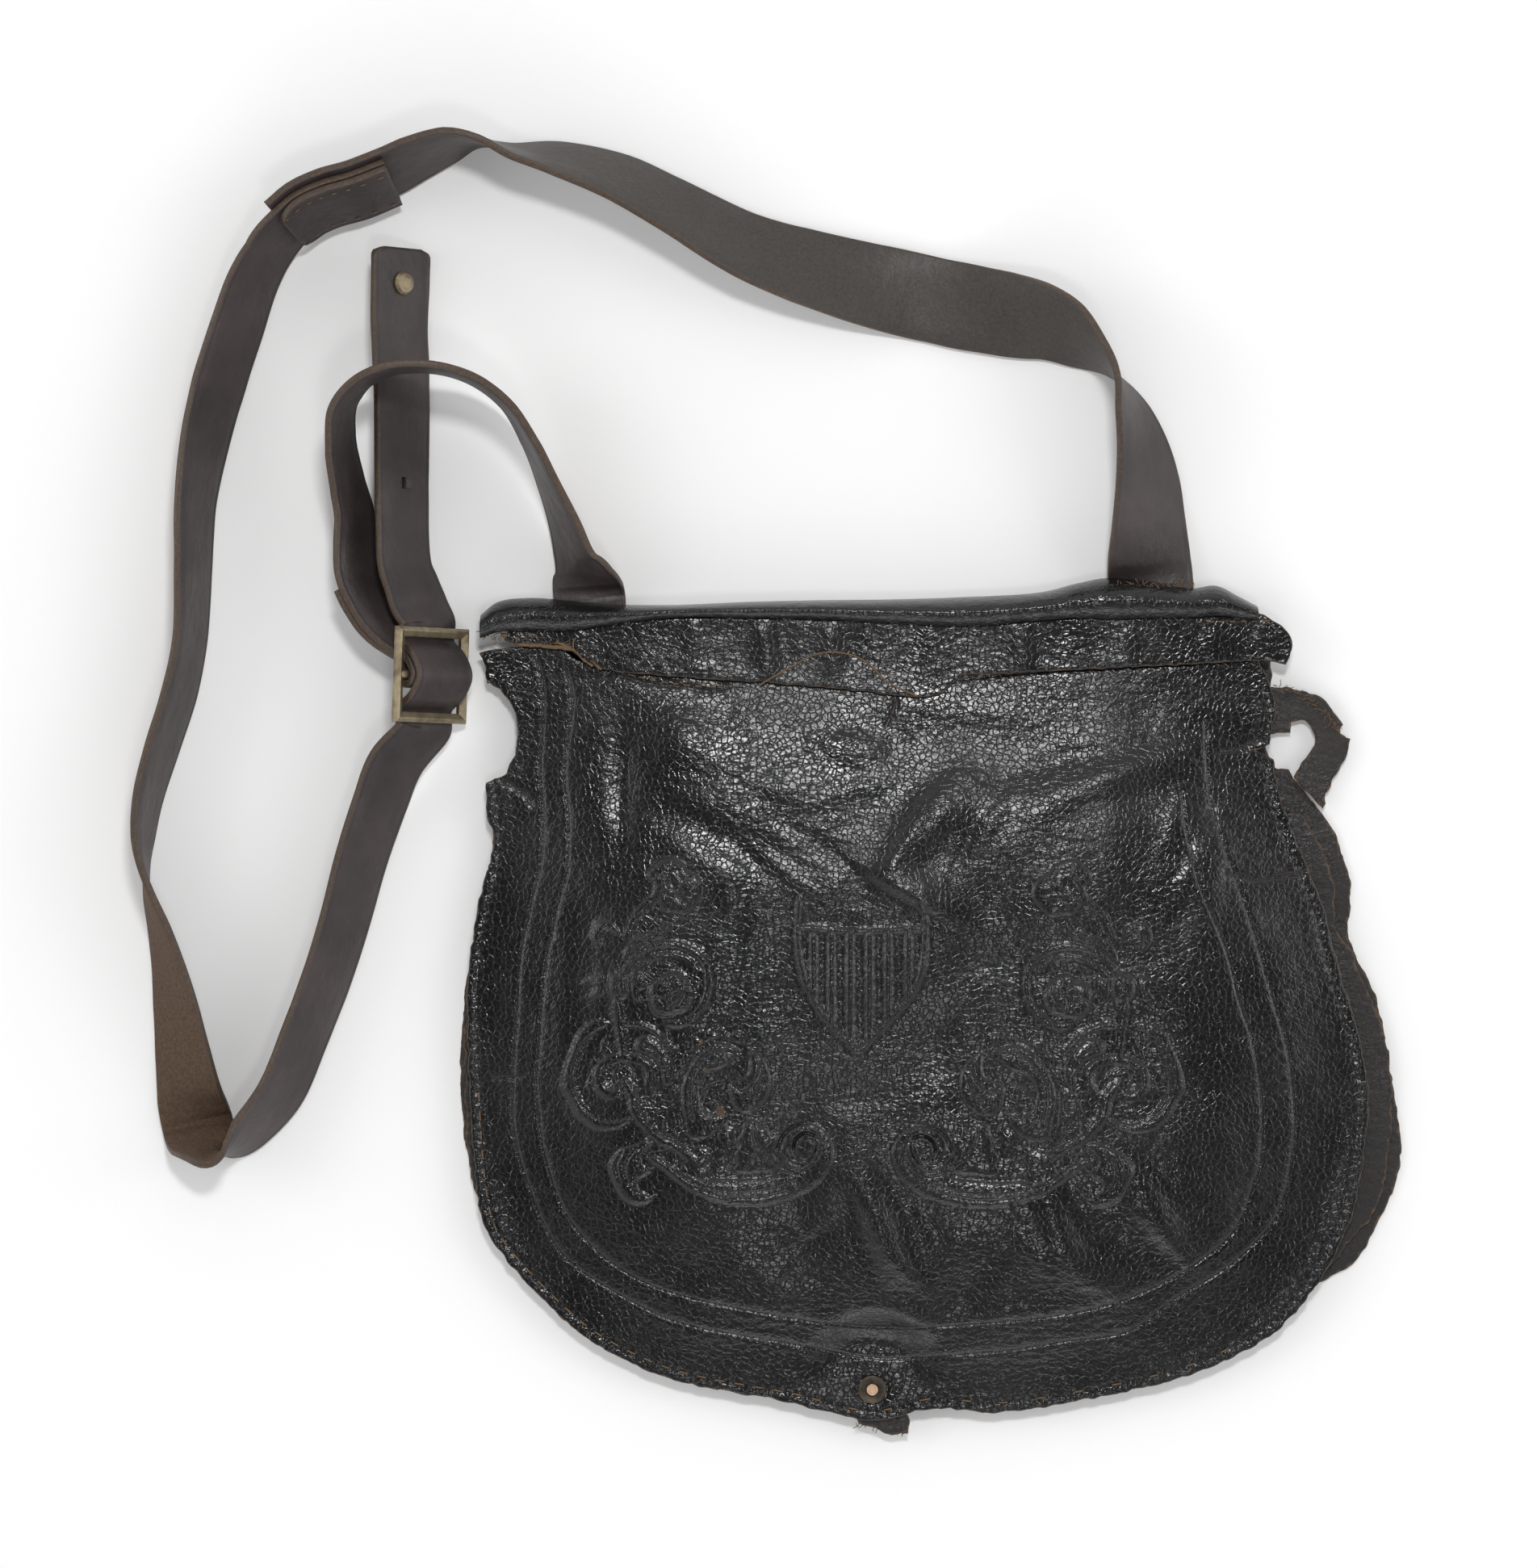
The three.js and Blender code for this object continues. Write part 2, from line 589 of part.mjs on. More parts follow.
function signedVolume(geometry) {
  const p = geometry.attributes.position;
  const index = geometry.index.array;
  const [a, b, c] = [new THREE.Vector3(), new THREE.Vector3(), new THREE.Vector3()];
  let sum = 0;
  for (let i = 0; i < index.length; i += 3) {
    a.fromBufferAttribute(p, index[i]);
    b.fromBufferAttribute(p, index[i + 1]);
    c.fromBufferAttribute(p, index[i + 2]);
    sum += a.dot(b.cross(c));
  }
  return sum / 6;
}

function outward(geometry) {
  if (signedVolume(geometry) > 0) return geometry;
  const index = geometry.index.array;
  for (let i = 0; i < index.length; i += 3) [index[i], index[i + 1]] = [index[i + 1], index[i]];
  return geometry;
}

// Outline points in plan: smooth runs between the corners
function outlinePoints(table) {
  const first = Math.max(0, table.findIndex((row) => row.corner));
  const rows = [...table.slice(first), ...table.slice(0, first)];
  const plan = rows.map((row) => {
    const p = onBag(row.x, row.y);
    return new THREE.Vector3(p.x, p.y, 0);
  });
  const corners = rows.map((row, i) => (row.corner ? i : -1)).filter((i) => i >= 0);
  const out = [];
  corners.forEach((from, k) => {
    const to = k + 1 < corners.length ? corners[k + 1] : rows.length;
    const run = plan.slice(from, to).concat([plan[to % rows.length]]);
    const spans = run.length - 1;
    if (spans === 1) return out.push(run[0]);
    const curve = new THREE.CatmullRomCurve3(run, false, "centripetal");
    out.push(...curve.getPoints(spans * EDGE_SAMPLES).slice(0, -1));
  });
  return out.map((p) => new THREE.Vector2(p.x, p.y));
}

function prism(points, low, high) {
  const shape = new THREE.Shape(points);
  const geometry = new THREE.ExtrudeGeometry(shape, { depth: high - low, bevelEnabled: false });
  geometry.translate(0, 0, low);
  return solidOf(geometry);
}

// A sheet of leather cut to an outline, its underside at the height that under(x, y) gives
function sheet(points, wall, cell, under) {
  const box = new THREE.Box2().setFromPoints(points).expandByScalar(cell / 2);
  const size = box.getSize(new THREE.Vector2());
  const nx = Math.ceil(size.x / cell);
  const ny = Math.ceil(size.y / cell);
  const vertices = [];
  for (const lift of [0, wall])
    for (let j = 0; j <= ny; j++)
      for (let i = 0; i <= nx; i++) {
        const x = box.min.x + (size.x * i) / nx;
        const y = box.min.y + (size.y * j) / ny;
        vertices.push(x, y, under(x, y) + lift);
      }
  const layer = (nx + 1) * (ny + 1);
  const at = (i, j) => j * (nx + 1) + i;
  const faces = [];
  const quad = (a, b, c, d) => faces.push(a, b, c, a, c, d);
  for (let j = 0; j < ny; j++)
    for (let i = 0; i < nx; i++) {
      const ring = [at(i, j), at(i + 1, j), at(i + 1, j + 1), at(i, j + 1)];
      quad(...ring.map((v) => v + layer));
      quad(...ring.reverse());
    }
  for (let i = 0; i < nx; i++) {
    quad(at(i, 0), at(i + 1, 0), at(i + 1, 0) + layer, at(i, 0) + layer);
    quad(at(i + 1, ny), at(i, ny), at(i, ny) + layer, at(i + 1, ny) + layer);
  }
  for (let j = 0; j < ny; j++) {
    quad(at(0, j + 1), at(0, j), at(0, j) + layer, at(0, j + 1) + layer);
    quad(at(nx, j), at(nx, j + 1), at(nx, j + 1) + layer, at(nx, j) + layer);
  }
  const geometry = new THREE.BufferGeometry();
  geometry.setAttribute("position", new THREE.Float32BufferAttribute(vertices, 3));
  geometry.setIndex(faces);
  return solidOf(geometry).intersect(prism(points, -MM_FAR, MM_FAR));
}

// Reliefs
const smooth = (low, high, value) => THREE.MathUtils.smoothstep(value, low, high);

// 0 at the sides and foot of the bag and round the stud, 1 over the full pouch; spread widens it
function dome(x, y, spread) {
  const u = x / TOP_WIDTH;
  const v = y / BAG_HEIGHT;
  const upper = smooth(POUCH_NARROWS.from, POUCH_NARROWS.to, v);
  const halfWidth = THREE.MathUtils.lerp(POUCH_HALF.foot, POUCH_HALF.top, upper);
  const centre = THREE.MathUtils.lerp(POUCH_CENTRE.foot, POUCH_CENTRE.top, upper);
  const side = Math.abs(u - centre) / halfWidth / spread;
  const foot = Math.max(0, POUCH_FOOT - v) / POUCH_FOOT / spread;
  const round = 1 - side ** 3 - foot ** 3;
  const stud = onBag(flapStudPlace.x, flapStudPlace.y);
  const flat = WASHER_RADIUS + FLAP_CELL;
  const aside = smooth(flat, 2 * flat, Math.hypot(x - stud.x, y - stud.y));
  const flatter = smooth(POUCH_FLATTENS.from, POUCH_FLATTENS.to, v);
  return smooth(0, 1, round) * aside * (1 - POUCH_FLATTENS.by * flatter);
}

function folds(x, y) {
  let sum = 0;
  for (const fold of flapFolds) {
    const centre = onBag(fold.x, fold.y);
    const d = new THREE.Vector2(x, y).sub(centre).rotateAround({ x: 0, y: 0 }, -radians(fold.turn));
    const reach = (d.x / (fold.long * TOP_WIDTH)) ** 2 + (d.y / (fold.wide * TOP_WIDTH)) ** 2;
    sum += fold.rise * Math.exp(-reach);
  }
  return THREE.MathUtils.clamp(sum, -0.95, 1.1);
}

const frontUnder = (x, y) => FRONT_SEAT + POUCH_DEPTH * dome(x, y, FRONT_SPREAD);
const flapUnder = (x, y) => {
  const full = POUCH_DEPTH + FLAP_SLACK * (1 + folds(x, y));
  return FLAP_SEAT + full * dome(x, y, 1);
};
const bandUnder = (x, y) => flapUnder(x, y) + FLAP_WALL + GAP;
const gussetUnder = (x) => {
  const u = x / TOP_WIDTH;
  const fromSide = Math.min(u - GUSSET_CLIMB.left, GUSSET_CLIMB.right - u);
  return SEAT + GUSSET_RISE * GUSSET_CLIMB.share * smooth(0, GUSSET_CLIMB.over, fromSide);
};

// Ribbons. A knot is a point of the strap's middle with the direction of its width.
function routeKnots(table, width) {
  const plan = table.map((row) => onLoop(row.x, row.y));
  return table.map((row, i) => {
    const before = plan[Math.max(0, i - 1)];
    const after = plan[Math.min(plan.length - 1, i + 1)];
    const run = after.clone().sub(before).normalize();
    const left = new THREE.Vector3(-run.y, run.x, 0);
    const roll = radians(row.roll);
    const side = left.multiplyScalar(Math.cos(roll)).addScaledVector(up, Math.sin(roll));
    const lift = (row.rise ?? 0) * width + (row.seat ?? 0) * SEAT;
    const height = lift + standing(side, Math.cos(roll), width);
    return { point: new THREE.Vector3(plan[i].x, plan[i].y, height), side, share: 1, lift };
  });
}

// Height of a laid strap's middle over its lowest edge
const standing = (side, normalRise, width) =>
  (width / 2) * Math.abs(side.z) + (STRAP_WALL / 2) * Math.abs(normalRise);

// Frames along a smooth line through the knots; between laid knots the lower edge keeps its lift
function ribbonFrames(knots, width) {
  const curve = new THREE.CatmullRomCurve3(knots.map((k) => k.point), false, "centripetal");
  const spans = knots.length - 1;
  const count = spans * STRAP_SAMPLES;
  return Array.from({ length: count + 1 }, (_, i) => {
    const at = i / count;
    const span = Math.min(spans - 1, Math.floor(at * spans + 1e-9));
    const part = at * spans - span;
    const [from, to] = [knots[span], knots[span + 1]];
    const tangent = curve.getTangent(at);
    const side = from.side.clone().lerp(to.side, part);
    side.addScaledVector(tangent, -side.dot(tangent)).normalize();
    const normal = tangent.clone().cross(side);
    const point = curve.getPoint(at);
    if (from.lift !== undefined && to.lift !== undefined)
      point.z = THREE.MathUtils.lerp(from.lift, to.lift, part) + standing(side, normal.z, width);
    return { point, side, normal, share: THREE.MathUtils.lerp(from.share, to.share, part) };
  });
}

function ribbon(knots, width, wall) {
  const rows = ribbonFrames(knots, width).map(({ point, side, normal, share }) =>
    [
      [-1, -1],
      [1, -1],
      [1, 1],
      [-1, 1],
    ].map(([a, b]) =>
      point
        .clone()
        .addScaledVector(side, (a * share * width) / 2)
        .addScaledVector(normal, (b * wall) / 2),
    ),
  );
  return loft(rows);
}

// Knots laid on top of other knots, by so many strap thicknesses
function stackedKnots(knots, width, layers) {
  const frames = ribbonFrames(knots, width).filter((_, i) => i % STRAP_SAMPLES === 0);
  return frames.map(({ point, side, normal }) => ({
    point: point.clone().addScaledVector(normal, layers * (STRAP_WALL + GAP)),
    side,
    share: 1,
  }));
}

// The buckle's own frame: along the strap, across it and out of its face
const buckleFrame = (() => {
  const turn = radians(BUCKLE_TURN);
  const along = new THREE.Vector3(Math.sin(turn), Math.cos(turn), 0);
  const left = new THREE.Vector3(-along.y, along.x, 0);
  const tilt = radians(BUCKLE_TILT);
  const across = left.multiplyScalar(Math.cos(tilt)).addScaledVector(up, Math.sin(tilt));
  const out = along.clone().cross(across);
  const under = BUCKLE_THICK / 2 + 3 * (STRAP_WALL + GAP) + 3 * GAP;
  const height = (STRAP_WIDTH / 2) * Math.sin(tilt) + under * Math.cos(tilt);
  const place = onLoop(bucklePlace.x, bucklePlace.y);
  return { origin: new THREE.Vector3(place.x, place.y, height), along, across, out };
})();

const inBuckle = (along, over) =>
  buckleFrame.origin
    .clone()
    .addScaledVector(buckleFrame.along, along)
    .addScaledVector(buckleFrame.out, over);

// Side view of the strap through the buckle: [along, over] of its middle
const UNDER_END = -(BUCKLE_THICK / 2 + 2 * GAP + STRAP_WALL / 2);
const WRAP_RADIUS = CENTRE_BAR_RADIUS + 2 * GAP + STRAP_WALL / 2;
const OVER_BAR = WRAP_RADIUS + STRAP_WALL + 2 * GAP;
const throughPoints = throughBuckle.map(
  (row) =>
    new THREE.Vector2(row.along * BUCKLE_ALONG, UNDER_END + (OVER_BAR - UNDER_END) * row.over),
);

function throughKnots() {
  const side = buckleFrame.across.clone();
  return throughPoints.map((p) => ({ point: inBuckle(p.x, p.y), side, share: 1 }));
}

// The short strap runs below the long one, turns round the centre bar and is stitched back
function buckleStrapPath() {
  const side = buckleFrame.across.clone().negate();
  const knot = (p) => ({ point: inBuckle(p.x, p.y), side, share: 1 });
  const step = STRAP_WALL + 2 * GAP;
  const below = throughPoints.slice(OVER_ROW).map((p, i, list) => {
    const before = list[Math.max(0, i - 1)];
    const after = list[Math.min(list.length - 1, i + 1)];
    const run = i === 0 ? new THREE.Vector2(1, 0) : after.clone().sub(before).normalize();
    return new THREE.Vector2(p.x + run.y * step, p.y - run.x * step);
  });
  const laid = routeKnots(buckleStrapRoute, STRAP_WIDTH);
  const incoming = [...laid, ...below.slice(0, -2).reverse().map(knot)];
  const turn = Array.from({ length: WRAP_STEPS }, (_, i) => {
    const angle = Math.PI / 2 + (Math.PI * (i + 1)) / WRAP_STEPS;
    return knot(new THREE.Vector2(Math.cos(angle), Math.sin(angle)).multiplyScalar(WRAP_RADIUS));
  });
  const back = stackedKnots(incoming, STRAP_WIDTH, -1).slice(-RETURN_ROWS - 3, -2).reverse();
  return [...incoming, ...turn, ...back];
}

// Metal pieces made in their own frame, then stood on a point
function standOn(geometry, point, direction) {
  const turn = new THREE.Quaternion().setFromUnitVectors(up, direction);
  return geometry.applyQuaternion(turn).translate(point.x, point.y, point.z);
}

const FACETS = 18;
const lathe = (profile) =>
  new THREE.LatheGeometry(profile.map(([r, z]) => new THREE.Vector2(r, z)), FACETS).rotateX(Math.PI / 2);

// Materials
const leather = (color, roughness) => new THREE.MeshStandardMaterial({ color, roughness, metalness: 0 });
const brass = (color) => new THREE.MeshStandardMaterial({ color, roughness: 0.45, metalness: 0.9 });
const blackLeather = leather(0x1e1e20, 0.35);
const wornLeather = leather(0x2a2624, 0.6);
const strapLeather = leather(0x41383a, 0.55);

const group = new THREE.Group();
function add(name, geometry, material) {
  const bare = geometry.index ? geometry : mergeVertices(geometry);
  const mesh = new THREE.Mesh(bare, material);
  mesh.name = name;
  group.add(mesh);
  return mesh;
}

// Straps first, because the rolled edge is notched round them
const shoulderKnots = routeKnots(shoulderRoute, SHOULDER_WIDTH);
const buckleStrapKnots = buckleStrapPath();
const spliceKnots = shoulderKnots.slice(-SPLICE_ROWS - 1);
const freeKnots = routeKnots(freeEndRoute, STRAP_WIDTH);
const lowerKnots = [
  ...stackedKnots(spliceKnots, SHOULDER_WIDTH, 1),
  ...routeKnots(lowerRoute, STRAP_WIDTH),
  ...throughKnots(),
  ...freeKnots,
];

// Frame of the free end at one of its stations
function freeFrame(row) {
  const knot = freeKnots[row];
  const along = freeKnots[row + 1 < freeKnots.length ? row + 1 : row].point
    .clone()
    .sub(freeKnots[row - 1].point)
    .normalize();
  return { point: knot.point, normal: along.cross(knot.side).normalize() };
}

const holeFrame = freeFrame(HOLE_ROW);
const holeCutter = standOn(
  new THREE.CylinderGeometry(HOLE_RADIUS, HOLE_RADIUS, 4 * STRAP_WALL, 10).rotateX(Math.PI / 2),
  holeFrame.point,
  holeFrame.normal,
);
const lowerStrap = solidOf(ribbon(lowerKnots, STRAP_WIDTH, STRAP_WALL)).subtract(solidOf(holeCutter));

add("shoulder_strap", ribbon(shoulderKnots, SHOULDER_WIDTH, STRAP_WALL), strapLeather);
add("lower_strap", geometryOf(lowerStrap), strapLeather);
add("buckle_strap", ribbon(buckleStrapKnots, STRAP_WIDTH, STRAP_WALL), strapLeather);

const patchKnots = stackedKnots(spliceKnots, SHOULDER_WIDTH, 2);
patchKnots[0].share = SPLICE_END;
patchKnots.at(-1).share = SPLICE_END;
add("splice_patch", ribbon(patchKnots, STRAP_WIDTH, STRAP_WALL), strapLeather);

// Bag panels
add("back_panel", geometryOf(prism(outlinePoints(backOutline), 0, BACK_WALL)), wornLeather);
for (const [name, table] of [
  ["gusset_left", gussetLeftOutline],
  ["gusset_bottom", gussetBottomOutline],
  ["gusset_right", gussetRightOutline],
  ["gusset_torn", gussetTornOutline],
])
  add(name, geometryOf(sheet(outlinePoints(table), GUSSET_WALL, PANEL_CELL, gussetUnder)), wornLeather);

const shank = (radius) => {
  const place = onBag(flapStudPlace.x, flapStudPlace.y);
  const pin = new THREE.CylinderGeometry(radius, radius, MM_FAR, 16).rotateX(Math.PI / 2);
  return solidOf(pin.translate(place.x, place.y, MM_FAR / 2 + FRONT_SEAT - GAP));
};
const closingTab = sheet(outlinePoints(closingTabOutline), TAB_WALL, PANEL_CELL, () => FRONT_SEAT);
const front = sheet(outlinePoints(frontOutline), FRONT_WALL, PANEL_CELL, frontUnder);
const flap = sheet(outlinePoints(flapOutline), FLAP_WALL, FLAP_CELL, flapUnder);
const band = sheet(outlinePoints(bandOutline), BAND_WALL, BAND_CELL, bandUnder);
add("closing_tab", geometryOf(closingTab.subtract(shank(SHANK_RADIUS + GAP))), wornLeather);
add("front_panel", geometryOf(front), blackLeather);
add("flap", geometryOf(flap.subtract(shank(SHANK_RADIUS + GAP))), blackLeather);
add("top_band", geometryOf(band), blackLeather);

// Rolled top edge, with notches where the straps come out of it
function rollSection({ x, edge, seam }) {
  const outer = onBag(x, edge);
  const inner = onBag(x, seam);
  const crest = bandUnder(inner.x, inner.y) + BAND_WALL + GAP + ROLL_WALL;
  const arc = (wall) =>
    Array.from({ length: ROLL_STEPS + 1 }, (_, i) => {
      const a = (Math.PI / 2) * (i / ROLL_STEPS);
      const reach = (outer.y - inner.y) * ROLL_BEND - wall;
      const top = crest + ROLL_CREST - wall - SEAT;
      const y = outer.y - wall - reach * (1 - Math.cos(a));
      return new THREE.Vector3(outer.x, y, SEAT + top * Math.sin(a));
    });
  const seamTop = new THREE.Vector3(inner.x, inner.y, crest);
  const seamFoot = new THREE.Vector3(inner.x, inner.y, crest - ROLL_WALL);
  return [...arc(0), seamTop, seamFoot, ...arc(ROLL_WALL).reverse()];
}
const swollen = (knots, width) =>
  solidOf(ribbon(knots.slice(0, 4), width + 2 * GAP, STRAP_WALL + 2 * GAP));
const roll = solidOf(loft(rollSections.map(rollSection)))
  .subtract(swollen(shoulderKnots, SHOULDER_WIDTH))
  .subtract(swollen(buckleStrapKnots, STRAP_WIDTH));
add("top_roll", geometryOf(roll), blackLeather);

// Flap stud: dished washer, round post and its shank through flap and tab
const studPlace = onBag(flapStudPlace.x, flapStudPlace.y);
const studSeat = flapUnder(studPlace.x, studPlace.y) + FLAP_WALL + GAP;
const stud = lathe([
  [0, FRONT_SEAT - studSeat],
  [SHANK_RADIUS, FRONT_SEAT - studSeat],
  [SHANK_RADIUS, 0],
  [WASHER_RADIUS, 0],
  [WASHER_RADIUS, WASHER_THICK * 0.6],
  [WASHER_RADIUS * 0.85, WASHER_THICK],
  [POST_RADIUS, WASHER_THICK * 0.5],
  [POST_RADIUS, POST_HEIGHT * 0.8],
  [POST_RADIUS * 0.6, POST_HEIGHT],
  [0, POST_HEIGHT],
]);
add("flap_stud", stud.translate(studPlace.x, studPlace.y, studSeat), brass(0x5a4632));

// Brass stud on the free end of the strap
const strapStud = lathe([
  [0, 0],
  [STUD_RADIUS, 0],
  [STUD_RADIUS, STUD_HEIGHT * 0.3],
  [STUD_RADIUS * 0.8, STUD_HEIGHT * 0.75],
  [STUD_RADIUS * 0.4, STUD_HEIGHT],
  [0, STUD_HEIGHT],
]);
const strapStudFrame = freeFrame(STUD_ROW);
const strapStudSeat = strapStudFrame.point
  .clone()
  .addScaledVector(strapStudFrame.normal, STRAP_WALL / 2 + GAP);
add("strap_stud", standOn(strapStud, strapStudSeat, strapStudFrame.normal), brass(0x6a5a34));

// Square buckle frame with its centre bar
const buckleWide = STRAP_WIDTH + 2 * (BUCKLE_BAR + BUCKLE_SIDE_PLAY);
const bevel = BUCKLE_THICK * 0.25;
function rectangle(long, wide, Kind) {
  const shape = new Kind();
  shape.moveTo(-long / 2, -wide / 2);
  shape.lineTo(long / 2, -wide / 2);
  shape.lineTo(long / 2, wide / 2);
  shape.lineTo(-long / 2, wide / 2);
  shape.closePath();
  return shape;
}
const frameShape = rectangle(BUCKLE_ALONG - 2 * bevel, buckleWide - 2 * bevel, THREE.Shape);
const barsAcross = 2 * (BUCKLE_BAR - bevel);
frameShape.holes.push(rectangle(BUCKLE_ALONG - barsAcross, buckleWide - barsAcross, THREE.Path));
const frameGeometry = new THREE.ExtrudeGeometry(frameShape, {
  depth: BUCKLE_THICK - 2 * bevel,
  bevelThickness: bevel,
  bevelSize: bevel,
  bevelSegments: 1,
}).translate(0, 0, bevel - BUCKLE_THICK / 2);
const barLength = buckleWide - BUCKLE_BAR;
const centreBar = new THREE.CylinderGeometry(CENTRE_BAR_RADIUS, CENTRE_BAR_RADIUS, barLength, 16);
const buckle = geometryOf(solidOf(frameGeometry).add(solidOf(centreBar)));
const { origin, along, across, out } = buckleFrame;
buckle.applyMatrix4(new THREE.Matrix4().makeBasis(along, across, out).setPosition(origin));
add("buckle_frame", buckle, brass(0x786446));

// The origin is under the middle of the whole, on the surface
const bounds = new THREE.Box3().setFromObject(group);
const middle = bounds.getCenter(new THREE.Vector3());
group.position.set(-middle.x, -middle.y, -bounds.min.z);

export default group;
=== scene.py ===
"""Looks of a worn black leather haversack, laid on its back with its shoulder strap in a loop."""

import math

import bpy
import numpy as np
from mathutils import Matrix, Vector, geometry, kdtree


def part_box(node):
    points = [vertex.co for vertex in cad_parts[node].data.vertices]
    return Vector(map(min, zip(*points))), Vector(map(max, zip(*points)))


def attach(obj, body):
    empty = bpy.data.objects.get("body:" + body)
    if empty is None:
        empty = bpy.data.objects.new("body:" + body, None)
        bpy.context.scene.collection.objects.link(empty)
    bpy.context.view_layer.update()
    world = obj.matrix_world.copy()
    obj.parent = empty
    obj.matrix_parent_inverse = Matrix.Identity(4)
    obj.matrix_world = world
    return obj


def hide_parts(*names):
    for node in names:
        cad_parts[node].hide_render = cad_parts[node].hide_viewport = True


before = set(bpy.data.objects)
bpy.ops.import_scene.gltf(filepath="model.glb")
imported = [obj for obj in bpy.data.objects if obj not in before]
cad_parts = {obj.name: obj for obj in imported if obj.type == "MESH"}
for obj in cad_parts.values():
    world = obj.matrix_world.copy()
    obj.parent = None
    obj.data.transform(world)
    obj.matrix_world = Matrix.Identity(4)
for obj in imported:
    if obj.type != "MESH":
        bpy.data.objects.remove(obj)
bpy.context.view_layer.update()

# Sizes as the construction has them, in millimetres. BUCKLE_TILT and BUCKLE_TURN are degrees, FLAP_STUD,
# BUCKLE_PLACE and FRONT_SPREAD are shares of the bag, and the ROWS and HOLE_ROW count a strap's knots.
MM = 0.001
TOP_WIDTH = 300.0
BAG_HEIGHT = 300.0
LOOP_LEFT = 120.0
LOOP_UP = 150.0
GAP = 0.3
BACK_WALL = 1.8
GUSSET_WALL = 1.6
FRONT_WALL = 1.6
FLAP_WALL = 1.8
BAND_WALL = 1.6
ROLL_WALL = 1.6
TAB_WALL = 1.6
GUSSET_RISE = 1.4
POUCH_DEPTH = 11.0
FLAP_SLACK = 5.0
ROLL_CREST = 2.4
FRONT_SPREAD = 0.94
SHOULDER_WIDTH = 32.0
STRAP_WIDTH = 26.5
STRAP_WALL = 2.8
BUCKLE_ALONG = 35.4
BUCKLE_BAR = 3.8
BUCKLE_THICK = 3.0
BUCKLE_SIDE_PLAY = 0.9
BUCKLE_TILT = 45.0
BUCKLE_TURN = 2.0
CENTRE_BAR_RADIUS = 1.7
WASHER_RADIUS = 5.2
FLAP_CELL = 10.4
SEAT = BACK_WALL + GAP
FRONT_SEAT = SEAT + GUSSET_RISE + GUSSET_WALL + GAP
FLAP_SEAT = FRONT_SEAT + FRONT_WALL + GAP
FLAP_STUD = (0.485, 0.024)
BUCKLE_PLACE = (-0.15, 0.909)
SPLICE_ROWS = 4
RETURN_ROWS = 3
HOLE_ROW = 4

# The pouch's dome in shares of the bag: where it narrows, its middle and half width at the foot with
# how much less they are at the top, its rounded foot, and where and how far it flattens
POUCH_NARROWS = (0.5, 0.9)
POUCH_CENTRE = (0.54, 0.035)
POUCH_HALF = (0.55, 0.09)
POUCH_FOOT = 0.55
POUCH_FLATTENS = (0.62, 0.97, 0.72)

# The gusset's sides and how far it rises from them, in shares of the bag's width
GUSSET_SIDES = (-0.03, 1.14)
GUSSET_RAMP = 0.16

# The photograph, from straight above: millimetres a pixel, and the pixel over the bag's corner
PIXEL = 0.3
PIXEL_X = 595
PIXEL_Y = 1745
PICTURE_LONG = 582.6 * MM
CAMERA_HEIGHT = 2.6
CAMERA_FOCUS_HEIGHT = 0.012
SENSOR_WIDTH = 36

# The bag's lower left corner, from the stud that the frame holds
stud_low, stud_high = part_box("flap_stud")
BAG_CORNER = np.array([
    (stud_low.x + stud_high.x) / 2 - FLAP_STUD[0] * TOP_WIDTH * MM,
    (stud_low.y + stud_high.y) / 2 - FLAP_STUD[1] * BAG_HEIGHT * MM,
    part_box("back_panel")[0].z,
])

# Folds and dents of the flap: x, y in shares of the bag, half lengths long and wide in shares of
# its width, turn in degrees, rise in shares of FLAP_SLACK
FLAP_FOLDS = [
    (0.485, 0.755, 0.25, 0.09, 0, 0.3),
    (0.245, 0.835, 0.04, 0.035, 0, 0.6),
    (0.805, 0.793, 0.11, 0.022, 18, 0.7),
    (0.46, 0.82, 0.05, 0.02, -10, 0.35),
    (0.555, 0.725, 0.07, 0.022, 50, 0.5),
    (0.54, 0.64, 0.07, 0.02, -35, 0.45),
    (0.285, 0.715, 0.09, 0.024, -25, -0.5),
    (0.175, 0.765, 0.08, 0.016, 90, -0.4),
    (0.905, 0.67, 0.06, 0.02, 80, 0.35),
    (0.493, 0.23, 0.085, 0.02, -70, 0.7),
    (0.385, 0.185, 0.05, 0.035, 20, -0.5),
    (0.745, 0.17, 0.07, 0.03, -30, 0.55),
    (0.715, 0.225, 0.05, 0.018, -66, 0.4),
    (0.833, 0.245, 0.07, 0.02, -53, 0.6),
    (0.6, 0.15, 0.05, 0.03, 60, -0.45),
    (0.535, 0.115, 0.035, 0.016, -20, 0.5),
]

# Rolled top edge: x, outer edge and seam in shares of the bag
ROLL = [
    (-0.001, 0.985, 0.955),
    (0.02, 1.001, 0.962),
    (0.06, 1.006, 0.965),
    (0.105, 1.003, 0.964),
    (0.165, 0.998, 0.972),
    (0.235, 0.997, 0.98),
    (0.335, 1.001, 0.98),
    (0.42, 1.003, 0.978),
    (0.505, 1.004, 0.974),
    (0.6, 1.007, 0.97),
    (0.695, 1.013, 0.977),
    (0.74, 1.024, 0.98),
    (0.78, 1.031, 0.979),
    (0.83, 1.027, 0.98),
    (0.883, 1.018, 0.981),
    (0.913, 1.021, 0.983),
    (0.94, 1.008, 0.98),
    (0.963, 0.996, 0.977),
]

